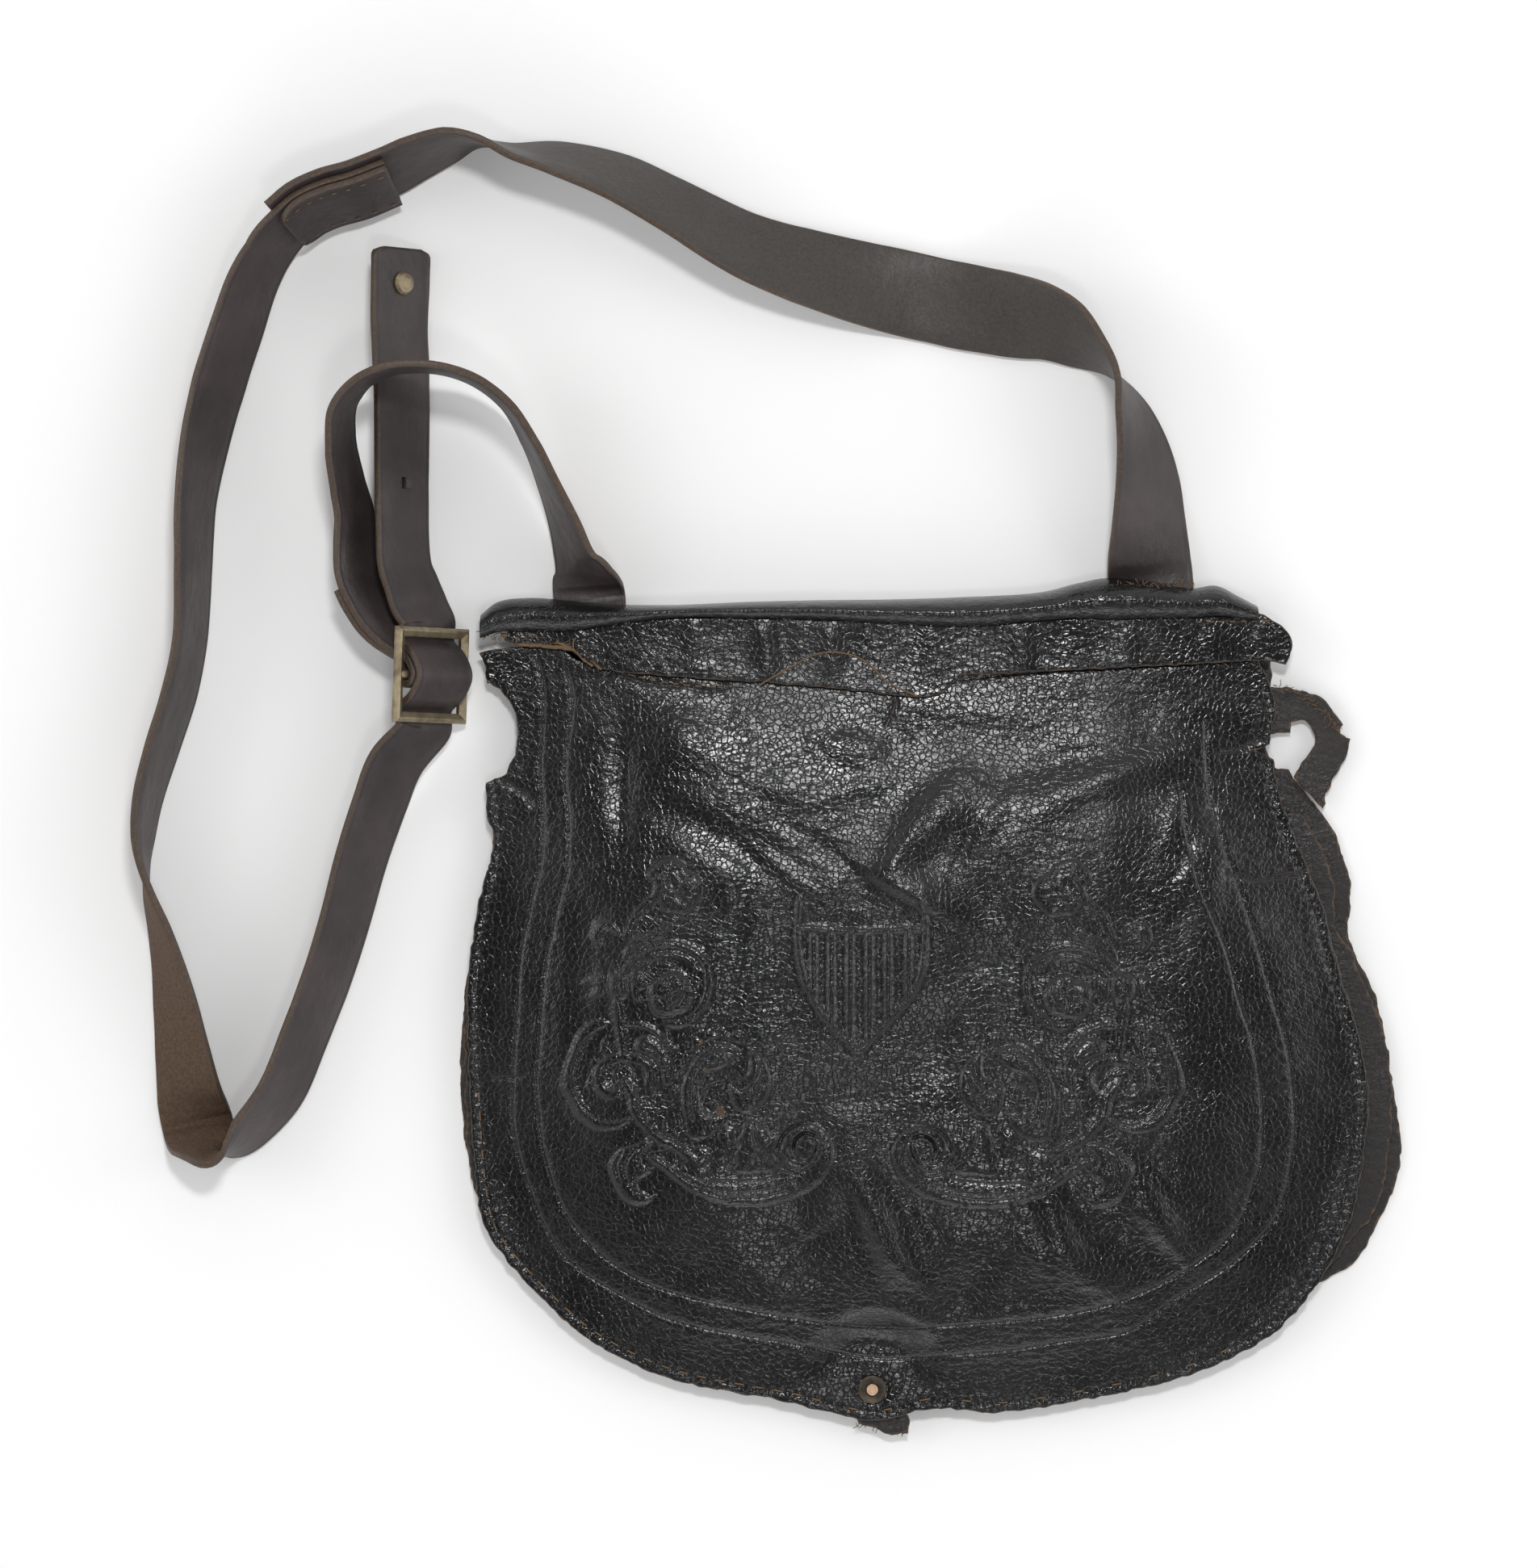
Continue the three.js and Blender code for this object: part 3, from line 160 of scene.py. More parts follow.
# Strap routes as laid on the surface: x, y in shares, roll in degrees, rise of the lower edge in
# shares of the strap's width, seat 1 where it lies on the back panel
SHOULDER_ROUTE = [
    (0.831, 0.972, 0, 0, 1),
    (0.831, 1.0, 0, 0, 1),
    (0.831, 1.05, 1, 0, 1),
    (0.829, 1.1, 14, 0, 0.6),
    (0.828, 1.19, 30, 0, 0),
    (0.826, 1.29, 41, 0, 0),
    (0.818, 1.39, 54, 0, 0),
    (0.804, 1.48, 68, 0, 0),
    (0.784, 1.566, 90, 0, 0),
    (0.755, 1.624, 111, 0, 0),
    (0.729, 1.666, 129, 0, 0),
    (0.697, 1.696, 143, 0, 0),
    (0.655, 1.714, 161, 0, 0),
    (0.595, 1.738, 176, 0, 0),
    (0.523, 1.77, 183, 0, 0),
    (0.448, 1.806, 200, 0, 0),
    (0.335, 1.878, 219, 0, 0),
    (0.236, 1.984, 230, 0, 0),
    (0.171, 2.05, 235, 0, 0),
    (0.096, 2.096, 245, 0, 0),
    (0.042, 2.114, 258, 0, 0),
    (-0.008, 2.14, 270, 0, 0),
    (-0.095, 2.13, 286, 0, 0),
    (-0.203, 2.096, 294, 0, 0),
    (-0.283, 2.064, 297, 0, 0),
    (-0.388, 2.03, 298, 0, 0),
    (-0.475, 2.01, 298, 0, 0),
    (-0.55, 1.982, 299, 0, 0),
    (-0.613, 1.938, 300, 0, 0),
]
LOWER_ROUTE = [
    (-0.657, 1.866, 303, 0, 0),
    (-0.708, 1.79, 307, 0, 0),
    (-0.753, 1.686, 310, 0, 0),
    (-0.81, 1.544, 310, 0, 0),
    (-0.853, 1.404, 305, 0, 0),
    (-0.883, 1.248, 297, 0, 0),
    (-0.89, 1.09, 293, 0, 0),
    (-0.9, 0.954, 290, 0, 0),
    (-0.933, 0.887, 291, 0, 0),
    (-0.988, 0.817, 290, 0, 0),
    (-1.03, 0.757, 286, 0, 0),
    (-1.045, 0.709, 280, 0, 0),
    (-1.043, 0.672, 270, 0, 0),
    (-1.025, 0.635, 260, 0, 0),
    (-0.995, 0.595, 251, 0, 0),
    (-0.965, 0.545, 241, 0, 0),
    (-0.943, 0.495, 230, 0, 0),
    (-0.925, 0.445, 220, 0, 0),
    (-0.905, 0.392, 205, 0, 0),
    (-0.885, 0.353, 178, 0, 0),
    (-0.863, 0.327, 140, 0, 0),
    (-0.825, 0.314, 103, 0, 0),
    (-0.775, 0.322, 78, 0, 0),
    (-0.72, 0.343, 62, 0, 0),
    (-0.623, 0.39, 55, 0, 0),
    (-0.543, 0.465, 54, 0, 0),
    (-0.473, 0.539, 53, 0, 0),
    (-0.42, 0.607, 52, 0, 0),
    (-0.37, 0.682, 50, 0, 0),
    (-0.31, 0.753, 47, 0.06, 0),
    (-0.263, 0.8, 46, 0.14, 0),
]
FREE_END_ROUTE = [
    (-0.192, 0.998, 45, 0.16, 0),
    (-0.215, 1.045, 47, 0.13, 0),
    (-0.235, 1.09, 48, 0.1, 0),
    (-0.243, 1.19, 49, 0.05, 0),
    (-0.245, 1.29, 48, 0.02, 0),
    (-0.245, 1.39, 47, 0, 0),
    (-0.245, 1.49, 46, 0, 0),
    (-0.248, 1.59, 45, 0, 0),
    (-0.253, 1.69, 44, 0, 0),
    (-0.25, 1.79, 42, 0, 0),
    (-0.248, 1.878, 40, 0, 0),
]
BUCKLE_STRAP_ROUTE = [
    (0.135, 0.972, 0, 0, 1),
    (0.135, 0.99, 0, 0, 1),
    (0.134, 1.015, -1, 0, 1),
    (0.131, 1.045, -22, 0, 0.6),
    (0.126, 1.075, -42, 0, 0.2),
    (0.117, 1.115, -60, 0, 0),
    (0.105, 1.19, -68, 0.1, 0),
    (0.085, 1.29, -76, 0.2, 0),
    (0.063, 1.39, -81, 0.32, 0),
    (0.035, 1.48, -85, 0.5, 0),
    (0.002, 1.534, -87, 0.62, 0),
    (-0.088, 1.564, -88, 0.76, 0),
    (-0.188, 1.574, -88, 0.84, 0),
    (-0.288, 1.564, -87, 0.87, 0),
    (-0.368, 1.53, -84, 0.82, 0),
    (-0.418, 1.474, -79, 0.6, 0),
    (-0.43, 1.39, -74, 0.35, 0),
    (-0.412, 1.29, -68, 0.12, 0),
    (-0.39, 1.21, -62, 0.02, 0),
    (-0.382, 1.13, -56, 0.04, 0),
    (-0.365, 1.06, -50, 0.12, 0),
    (-0.333, 1.014, -47, 0.14, 0),
    (-0.288, 0.983, -45, 0.16, 0),
]

# The strap through the buckle from the side: shares of BUCKLE_ALONG, and 1 over the bar
THROUGH_BUCKLE = [
    (-0.57, 0),
    (-0.48, 0),
    (-0.36, 0),
    (-0.2, 0.65),
    (0, 1),
    (0.2, 0.65),
    (0.36, 0),
    (0.48, 0),
    (0.57, 0),
]
OVER_ROW = 4
WRAP_STEPS = 6

# Tooling of the flap, charted in photograph pixels on its right half. A leaf is a closed outline
# that stands proud, with its height in millimetres.
LEAVES = [
    (0.9, [(1137, 1390), (1116, 1400), (1103, 1420), (1106, 1442), (1117, 1460), (1135, 1475), (1172, 1490),
           (1218, 1495), (1264, 1488), (1300, 1472), (1331, 1450), (1352, 1435), (1340, 1432), (1312, 1446),
           (1284, 1456), (1250, 1460), (1215, 1460), (1185, 1456), (1170, 1448), (1178, 1432), (1173, 1413),
           (1158, 1396)]),
    (0.8, [(1173, 1413), (1180, 1403), (1187, 1405), (1191, 1396), (1200, 1396), (1206, 1388), (1216, 1387),
           (1224, 1393), (1226, 1402), (1232, 1411), (1229, 1420), (1236, 1430), (1233, 1440), (1237, 1449),
           (1226, 1455), (1205, 1453), (1185, 1452), (1175, 1444), (1180, 1430)]),
    (0.5, [(1239, 1397), (1256, 1394), (1259, 1407), (1250, 1421), (1241, 1432), (1236, 1415)]),
    (0.7, [(1268, 1423), (1281, 1420), (1302, 1423), (1313, 1412), (1303, 1436), (1308, 1452), (1287, 1464),
           (1275, 1466), (1266, 1453), (1271, 1443), (1264, 1433)]),
    (0.9, [(1337, 1415), (1354, 1412), (1369, 1418), (1385, 1423), (1397, 1434), (1403, 1447), (1398, 1460),
           (1394, 1469), (1385, 1484), (1369, 1493), (1351, 1492), (1337, 1478), (1346, 1481), (1359, 1475),
           (1362, 1463), (1351, 1456), (1345, 1450), (1354, 1444), (1357, 1432), (1345, 1420)]),
    (0.9, [(1216, 1299), (1198, 1310), (1189, 1325), (1186, 1343), (1192, 1362), (1204, 1374), (1219, 1380),
           (1235, 1374), (1242, 1358), (1243, 1343), (1231, 1337), (1219, 1331), (1216, 1315)]),
    (0.8, [(1228, 1303), (1241, 1294), (1259, 1291), (1277, 1300), (1293, 1316), (1305, 1337), (1307, 1362),
           (1302, 1386), (1296, 1410), (1277, 1412), (1262, 1405), (1250, 1392), (1247, 1378), (1262, 1380),
           (1275, 1372), (1281, 1352), (1270, 1330), (1248, 1322)]),
    (0.6, [(1218, 1296), (1222, 1280), (1236, 1277), (1240, 1283), (1252, 1273), (1258, 1282), (1272, 1274),
           (1278, 1286), (1291, 1286), (1293, 1300), (1304, 1306), (1303, 1320), (1312, 1330), (1308, 1345),
           (1300, 1328), (1284, 1304), (1260, 1289), (1238, 1290)]),
    (0.6, [(1309, 1345), (1323, 1352), (1316, 1368), (1327, 1380), (1318, 1394), (1333, 1402), (1316, 1414),
           (1300, 1422), (1306, 1392), (1309, 1366)]),
    (0.8, [(1314, 1325), (1320, 1309), (1329, 1294), (1342, 1285), (1354, 1283), (1366, 1288), (1366, 1303),
           (1354, 1309), (1342, 1312), (1333, 1325), (1329, 1343), (1322, 1346)]),
    (0.8, [(1400, 1268), (1412, 1263), (1427, 1267), (1443, 1279), (1450, 1294), (1458, 1312), (1464, 1331),
           (1466, 1346), (1458, 1362), (1452, 1374), (1440, 1389), (1421, 1400), (1400, 1401), (1381, 1395),
           (1367, 1383), (1382, 1386), (1400, 1389), (1421, 1380), (1433, 1365), (1443, 1343), (1441, 1322),
           (1433, 1300), (1418, 1282)]),
    (0.5, [(1400, 1280), (1411, 1292), (1417, 1309), (1425, 1314), (1427, 1330), (1432, 1346), (1424, 1356),
           (1421, 1340), (1415, 1330), (1414, 1316), (1405, 1302)]),
    (0.9, [(1374, 1212), (1378, 1205), (1387, 1202), (1394, 1207), (1400, 1207), (1406, 1216), (1404, 1228),
           (1397, 1239), (1388, 1242), (1378, 1237), (1373, 1227)]),
    (0.6, [(1407, 1206), (1424, 1211), (1440, 1221), (1421, 1223), (1427, 1236), (1410, 1237), (1406, 1228)]),
    (0.6, [(1369, 1211), (1354, 1211), (1351, 1223), (1361, 1230), (1355, 1242), (1367, 1240), (1372, 1229)]),
    (1.2, [(1290, 1230), (1296, 1217), (1305, 1207), (1320, 1204), (1333, 1211), (1345, 1217), (1351, 1230),
           (1348, 1245), (1342, 1257), (1326, 1262), (1311, 1257), (1296, 1251)]),
    (0.8, [(1317, 1143), (1330, 1149), (1348, 1155), (1369, 1162), (1380, 1175), (1382, 1193), (1369, 1184),
           (1351, 1175), (1336, 1168), (1323, 1158)]),
    (0.7, [(1386, 1163), (1391, 1147), (1406, 1141), (1421, 1146), (1426, 1159), (1421, 1172), (1412, 1178),
           (1412, 1164), (1403, 1154), (1394, 1158)]),
    (0.9, [(1276, 1098), (1277, 1113), (1290, 1128), (1299, 1135), (1317, 1132), (1326, 1132), (1336, 1122),
           (1347, 1110), (1342, 1098), (1351, 1086), (1339, 1068), (1323, 1063), (1305, 1069), (1296, 1080),
           (1284, 1086)]),
]

# Stems and rims that stand proud: half width and height in millimetres
STEMS = [
    (1.8, 0.8, [(1288, 1438), (1314, 1420), (1336, 1410), (1354, 1392), (1366, 1377), (1369, 1358),
                (1381, 1342)]),
    (1.9, 0.8, [(1348, 1346), (1345, 1331), (1351, 1319), (1366, 1312), (1385, 1311), (1403, 1316),
                (1414, 1325), (1416, 1337), (1411, 1349), (1399, 1357), (1389, 1354)]),
    (1.8, 0.7, [(1381, 1310), (1385, 1285), (1388, 1264), (1391, 1245)]),
    (1.2, 0.7, [(1325, 1268), (1305, 1269), (1287, 1258), (1274, 1240), (1269, 1218), (1274, 1194),
                (1287, 1181), (1311, 1172), (1336, 1172), (1360, 1181), (1375, 1196), (1381, 1208)]),
    (0.9, 0.5, [(1282, 1205), (1296, 1190), (1314, 1184), (1340, 1187), (1360, 1198), (1370, 1210)]),
    (1.3, 0.5, [(1342, 1114), (1363, 1132), (1378, 1163)]),
    (0.8, 0.6, [(1318, 1083), (1326, 1087), (1328, 1098), (1321, 1107), (1311, 1106), (1309, 1094),
                (1318, 1083)]),
    (1.0, 0.6, [(1128, 1404), (1121, 1416), (1126, 1434), (1145, 1447), (1167, 1443), (1178, 1427)]),
    (0.8, 0.5, [(1317, 1303), (1336, 1282), (1357, 1271), (1381, 1269)]),
]

# Cuts and veins: half width and depth in millimetres
VEINS = [
    (0.5, 0.6, [(1129, 1407), (1141, 1403), (1153, 1410), (1157, 1423), (1150, 1436), (1137, 1437),
                (1128, 1428), (1127, 1416), (1134, 1410)]),
    (0.5, 0.6, [(1157, 1423), (1153, 1411), (1141, 1404), (1129, 1407), (1121, 1417), (1125, 1434),
                (1146, 1449), (1168, 1444), (1178, 1428), (1173, 1410), (1158, 1396), (1137, 1390)]),
    (0.4, 0.5, [(1209, 1393), (1207, 1412), (1192, 1432), (1172, 1447), (1150, 1455)]),
    (0.35, 0.35, [(1150, 1462), (1190, 1474), (1235, 1477), (1280, 1468), (1320, 1448)]),
    (0.35, 0.35, [(1165, 1476), (1205, 1484), (1250, 1482), (1290, 1470)]),
    (0.4, 0.4, [(1366, 1424), (1378, 1440), (1378, 1462), (1366, 1478)]),
    (0.4, 0.4, [(1384, 1428), (1392, 1445), (1388, 1462)]),
    (0.4, 0.5, [(1200, 1318), (1205, 1334), (1215, 1347), (1228, 1352), (1236, 1346)]),
    (0.4, 0.4, [(1196, 1330), (1203, 1350), (1219, 1362)]),
    (0.4, 0.5, [(1236, 1305), (1258, 1302), (1276, 1314), (1290, 1335), (1294, 1362), (1290, 1390)]),
    (0.4, 0.4, [(1246, 1340), (1264, 1344), (1276, 1358), (1279, 1378)]),
    (0.4, 0.4, [(1250, 1366), (1262, 1378), (1270, 1398)]),
    (0.35, 0.4, [(1252, 1285), (1268, 1290), (1288, 1304)]),
    (0.35, 0.4, [(1324, 1330), (1333, 1312), (1346, 1300), (1360, 1297)]),
    (0.4, 0.4, [(1412, 1275), (1432, 1290), (1446, 1315), (1450, 1342), (1438, 1370), (1415, 1388)]),
    (0.4, 0.4, [(1366, 1330), (1374, 1322), (1388, 1320), (1398, 1328), (1397, 1338)]),
    (0.35, 0.4, [(1382, 1213), (1390, 1221), (1388, 1232)]),
    (0.4, 0.5, [(1299, 1218), (1302, 1232), (1312, 1249)]),
    (0.4, 0.5, [(1313, 1212), (1322, 1220), (1334, 1214)]),
    (0.4, 0.5, [(1330, 1240), (1340, 1236), (1347, 1242)]),
    (0.4, 0.5, [(1308, 1228), (1320, 1236), (1318, 1252)]),
    (0.35, 0.4, [(1326, 1150), (1350, 1162), (1372, 1174)]),
    (0.35, 0.4, [(1400, 1150), (1412, 1158), (1412, 1170)]),
    (0.4, 0.5, [(1292, 1090), (1304, 1092)]),
    (0.4, 0.5, [(1304, 1116), (1311, 1109)]),
    (0.4, 0.5, [(1334, 1112), (1326, 1106)]),
    (0.4, 0.5, [(1338, 1084), (1328, 1088)]),
]

# Fine stripes beside the lower leaf: how many, where one starts and ends, and the step to the next
COMB_LINES = 6
COMB = ((1318, 1424), (1350, 1430), (0, 3.2))
COMB_CUT = (0.35, 0.35)

# The left scroll is the right one mirrored, a little narrower
MIRROR = {"eye": 1141, "place": 997, "narrower": 0.933, "drop": -3}

# Tooled double border: half width and depth of its line, and its two courses
BORDER = (0.42, 0.45)
BORDER_LINES = [
    [(663, 812), (672, 850), (671, 920), (669, 950), (672, 1000), (672, 1040), (667, 1080), (660, 1110),
     (651, 1150), (645, 1180), (642, 1220), (640, 1260), (637, 1300), (635, 1340), (636, 1400), (645, 1440),
     (655, 1470), (670, 1510), (690, 1545), (715, 1570), (745, 1590), (780, 1610), (820, 1630), (860, 1642),
     (900, 1650), (996, 1666), (1059, 1679), (1104, 1683), (1187, 1677), (1251, 1671), (1314, 1661),
     (1400, 1647), (1450, 1610), (1524, 1565), (1576, 1513), (1591, 1476), (1598, 1440), (1603, 1395),
     (1600, 1347), (1594, 1303), (1578, 1247), (1565, 1203), (1548, 1144), (1533, 1099), (1512, 1040),
     (1500, 1000), (1494, 940), (1492, 890)],
    [(701, 830), (709, 860), (706, 900), (701, 930), (700, 970), (703, 1010), (704, 1040), (702, 1080),
     (693, 1110), (685, 1150), (678, 1180), (673, 1220), (670, 1260), (667, 1300), (664, 1340), (667, 1380),
     (672, 1420), (680, 1450), (690, 1480), (705, 1510), (730, 1540), (760, 1565), (800, 1588), (840, 1602),
     (900, 1616), (1012, 1636), (1075, 1643), (1139, 1643), (1219, 1637), (1283, 1631), (1346, 1621),
     (1400, 1605), (1470, 1570), (1524, 1528), (1539, 1502), (1550, 1469), (1559, 1440), (1562, 1388),
     (1559, 1343), (1550, 1291), (1533, 1240), (1520, 1188), (1505, 1147), (1485, 1100), (1470, 1040),
     (1462, 980)],
]

# Shield: its rim, the line under its field of stars, its pales and its stars
SHIELD_RIM = [(989, 1112), (987, 1150), (988, 1172), (992, 1196), (999, 1221), (1013, 1247), (1030, 1269),
              (1047, 1286), (1063, 1299), (1077, 1286), (1099, 1263), (1119, 1242), (1132, 1222),
              (1141, 1196), (1144, 1169), (1145, 1140), (1140, 1116)]
SHIELD_LINE = [(989, 1147), (1020, 1149), (1050, 1152), (1100, 1151), (1144, 1148)]
PALES = [(1007, 1236), (1029, 1264), (1052, 1286), (1076, 1284), (1099, 1261), (1124, 1232)]
STARS = [(1008, 1125), (1026, 1121), (1039, 1133), (1055, 1130), (1018, 1136), (1103, 1123), (1111, 1141),
         (1073, 1136), (1088, 1130), (1126, 1130)]

# Tears and cracks of the flap, with the depth of the leather's step in millimetres
CRACKS = [
    (0.9, [(1515, 1078), (1528, 1083), (1540, 1085), (1555, 1089), (1570, 1087), (1586, 1085), (1600, 1083),
           (1612, 1082), (1622, 1078)]),
    (0.6, [(598, 968), (612, 966), (625, 968), (640, 978), (650, 985), (660, 1000)]),
    (0.35, [(607, 1337), (628, 1335), (650, 1333)]),
    (0.5, [(1503, 930), (1530, 928), (1552, 920), (1562, 912)]),
    (0.4, [(1100, 842), (1108, 870), (1096, 900)]),
    (0.45, [(1180, 842), (1260, 834), (1330, 829), (1400, 826), (1480, 821)]),
    (0.4, [(740, 842), (770, 838), (800, 846), (840, 850), (880, 856), (900, 852)]),
]

# Scuffs down to the raw leather: pixel place and radius in pixels
SCARS = [(868, 1288, 2.2), (876, 1325, 3.6), (892, 1375, 4.6), (900, 1395, 2.6), (815, 1221, 1.4),
         (1048, 1218, 1.6)]

# Sharper wrinkles that only show in the leather's surface, as the folds above
WRINKLES = [
    (0.36, 0.68, 0.06, 0.010, -38, 0.5),
    (0.42, 0.70, 0.06, 0.009, -30, -0.5),
    (0.52, 0.70, 0.05, 0.008, 62, 0.6),
    (0.56, 0.76, 0.04, 0.009, 40, 0.5),
    (0.60, 0.70, 0.04, 0.008, 70, -0.6),
    (0.64, 0.74, 0.05, 0.010, 55, 0.45),
    (0.50, 0.655, 0.06, 0.007, -32, 0.7),
    (0.56, 0.61, 0.05, 0.007, -28, -0.6),
    (0.47, 0.77, 0.05, 0.010, 15, 0.5),
    (0.34, 0.78, 0.05, 0.010, -25, 0.5),
    (0.40, 0.86, 0.06, 0.012, 5, 0.4),
    (0.62, 0.86, 0.07, 0.012, -6, 0.4),
    (0.70, 0.80, 0.06, 0.010, 22, -0.5),
    (0.78, 0.83, 0.07, 0.010, 12, 0.5),
    (0.86, 0.74, 0.05, 0.010, 70, 0.45),
    (0.91, 0.76, 0.05, 0.009, 76, -0.45),
    (0.88, 0.67, 0.05, 0.009, 60, 0.5),
    (0.30, 0.60, 0.05, 0.012, 80, 0.3),
    (0.44, 0.30, 0.05, 0.012, -50, 0.4),
    (0.56, 0.22, 0.05, 0.010, -64, -0.5),
    (0.53, 0.17, 0.05, 0.010, -48, 0.6),
    (0.66, 0.12, 0.06, 0.012, 8, 0.5),
    (0.78, 0.13, 0.05, 0.010, -20, -0.4),
    (0.68, 0.20, 0.05, 0.009, -60, 0.5),
    (0.80, 0.28, 0.05, 0.010, -48, -0.5),
    (0.86, 0.20, 0.06, 0.010, -44, 0.5),
    (0.36, 0.16, 0.04, 0.010, -30, 0.4),
    (0.41, 0.21, 0.03, 0.008, 30, -0.5),
    (0.24, 0.12, 0.08, 0.014, -24, 0.3),
    (0.95, 0.12, 0.05, 0.010, 40, 0.4),
    (0.10, 0.50, 0.12, 0.012, 88, 0.35),
    (0.03, 0.40, 0.10, 0.008, 88, 0.4),
]

# Bites torn out of the left and right edges: pixel place, half length and depth in millimetres
BITES = [(596, 903, 16, 6.6), (598, 1038, 5, 1.8), (1570, 905, 6, 2.2)]

# Puckers across the top band: x share, height in millimetres
PUCKERS = [(0.355, 1.0), (0.375, -0.6), (0.435, 0.9), (0.46, -0.5), (0.67, 0.8), (0.695, -0.5), (0.12, 0.5),
           (0.265, 0.5), (0.56, 0.4), (0.80, 0.5), (0.91, 0.6)]

rng = np.random.default_rng(61)


# Reliefs of the bag, in millimetres from its lower left corner
def smooth(low, high, value):
    t = np.clip((value - low) / (high - low), 0.0, 1.0)
    return t * t * (3.0 - 2.0 * t)


def dome(x, y, spread):
    u = x / TOP_WIDTH
    v = y / BAG_HEIGHT
    upper = smooth(*POUCH_NARROWS, v)
    middle = POUCH_CENTRE[0] - POUCH_CENTRE[1] * upper
    half_width = POUCH_HALF[0] - POUCH_HALF[1] * upper
    side = np.abs(u - middle) / half_width / spread
    foot = np.maximum(0, POUCH_FOOT - v) / POUCH_FOOT / spread
    rounding = 1 - side**3 - foot**3
    flat = WASHER_RADIUS + FLAP_CELL
    reach = np.hypot(x - FLAP_STUD[0] * TOP_WIDTH, y - FLAP_STUD[1] * BAG_HEIGHT)
    start, end, share = POUCH_FLATTENS
    return smooth(0, 1, rounding) * smooth(flat, 2 * flat, reach) * (1 - share * smooth(start, end, v))


def ridges(x, y, table):
    total = np.zeros_like(x, dtype=float)
    for cx, cy, half_long, half_wide, turn, rise in table:
        a = math.radians(turn)
        dx = x - cx * TOP_WIDTH
        dy = y - cy * BAG_HEIGHT
        along = dx * math.cos(a) + dy * math.sin(a)
        over = dy * math.cos(a) - dx * math.sin(a)
        reach = (along / (half_long * TOP_WIDTH)) ** 2 + (over / (half_wide * TOP_WIDTH)) ** 2
        total += rise * np.exp(-reach)
    return total


def flap_under(x, y):
    slack = 1 + np.clip(ridges(x, y, FLAP_FOLDS), -0.95, 1.1)
    return FLAP_SEAT + (POUCH_DEPTH + FLAP_SLACK * slack) * dome(x, y, 1)


def front_top(x, y):
    return FRONT_SEAT + FRONT_WALL + POUCH_DEPTH * dome(x, y, FRONT_SPREAD)


def band_top(x, y):
    return flap_under(x, y) + FLAP_WALL + GAP + BAND_WALL


def gusset_top(x, y):
    aside = np.minimum(x / TOP_WIDTH - GUSSET_SIDES[0], GUSSET_SIDES[1] - x / TOP_WIDTH)
    return SEAT + GUSSET_RISE * smooth(0, GUSSET_RAMP, aside) * 0.5 + GUSSET_WALL


# Smooth random fields, the same each run
NOISE_SIZE = 64
NOISE_GRID = rng.random((NOISE_SIZE, NOISE_SIZE))


def field(x, y, size):
    """Values from -1 to 1 that change over lengths of about size."""
    u = x / size
    v = y / size
    i = np.floor(u).astype(int)
    j = np.floor(v).astype(int)
    fu = smooth(0, 1, u - i)
    fv = smooth(0, 1, v - j)

    def corner(di, dj):
        return NOISE_GRID[(i + di) % NOISE_SIZE, (j + dj) % NOISE_SIZE]

    low = corner(0, 0) * (1 - fu) + corner(1, 0) * fu
    high = corner(0, 1) * (1 - fu) + corner(1, 1) * fu
    return (low * (1 - fv) + high * fv) * 2 - 1


def creases(x, y, size):
    """Sharp crests on soft ground, as in crumpled leather."""
    return 1 - np.abs(field(x + 0.35 * size * field(y, x, size), y, size))


def on_bag(pixels):
    """Photograph pixels as millimetres on the bag."""
    pixels = np.asarray(pixels, float)
    return np.stack([(pixels[:, 0] - PIXEL_X) * PIXEL, (PIXEL_Y - pixels[:, 1]) * PIXEL], 1)


POINTS_AT_ONCE = 4000


def distance_to(points, line, reach, closed=False):
    """Distances to a line of points, up to reach."""
    out = np.full(len(points), reach)
    low, high = line.min(0) - reach, line.max(0) + reach
    near = np.nonzero(((points > low) & (points < high)).all(1))[0]
    if closed:
        line = np.vstack([line, line[:1]])
    a, run = line[:-1], np.diff(line, axis=0)
    for start in range(0, len(near), POINTS_AT_ONCE):
        part = near[start : start + POINTS_AT_ONCE]
        rel = points[part][:, None, :] - a
        t = np.clip((rel * run).sum(2) / np.maximum((run**2).sum(1), 1e-9), 0, 1)
        off = rel - t[:, :, None] * run
        out[part] = np.minimum(out[part], np.sqrt((off**2).sum(2)).min(1))
    return out


# Meshes. Points are millimetres from the bag's corner and become metres in the frame.
def to_frame(points):
    return np.asarray(points, float) * MM + BAG_CORNER


def make_object(name, points, faces, node=None, slot=None, material=None, **marks):
    mesh = bpy.data.meshes.new(name)
    mesh.from_pydata(to_frame(points).tolist(), [], faces)
    for mark, values in marks.items():
        attribute = mesh.attributes.new(mark, "FLOAT", "POINT")
        attribute.data.foreach_set("value", np.asarray(values, np.float32))
    mesh.polygons.foreach_set("use_smooth", np.ones(len(mesh.polygons), bool))
    mesh.update()
    piece = bpy.data.objects.new(name, mesh)
    bpy.context.scene.collection.objects.link(piece)
    if material:
        mesh.materials.append(material)
    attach(piece, "root")
    if node:
        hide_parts(node)
    return piece


def spans(count):
    return [(i, (i + 1) % count) for i in range(count)]


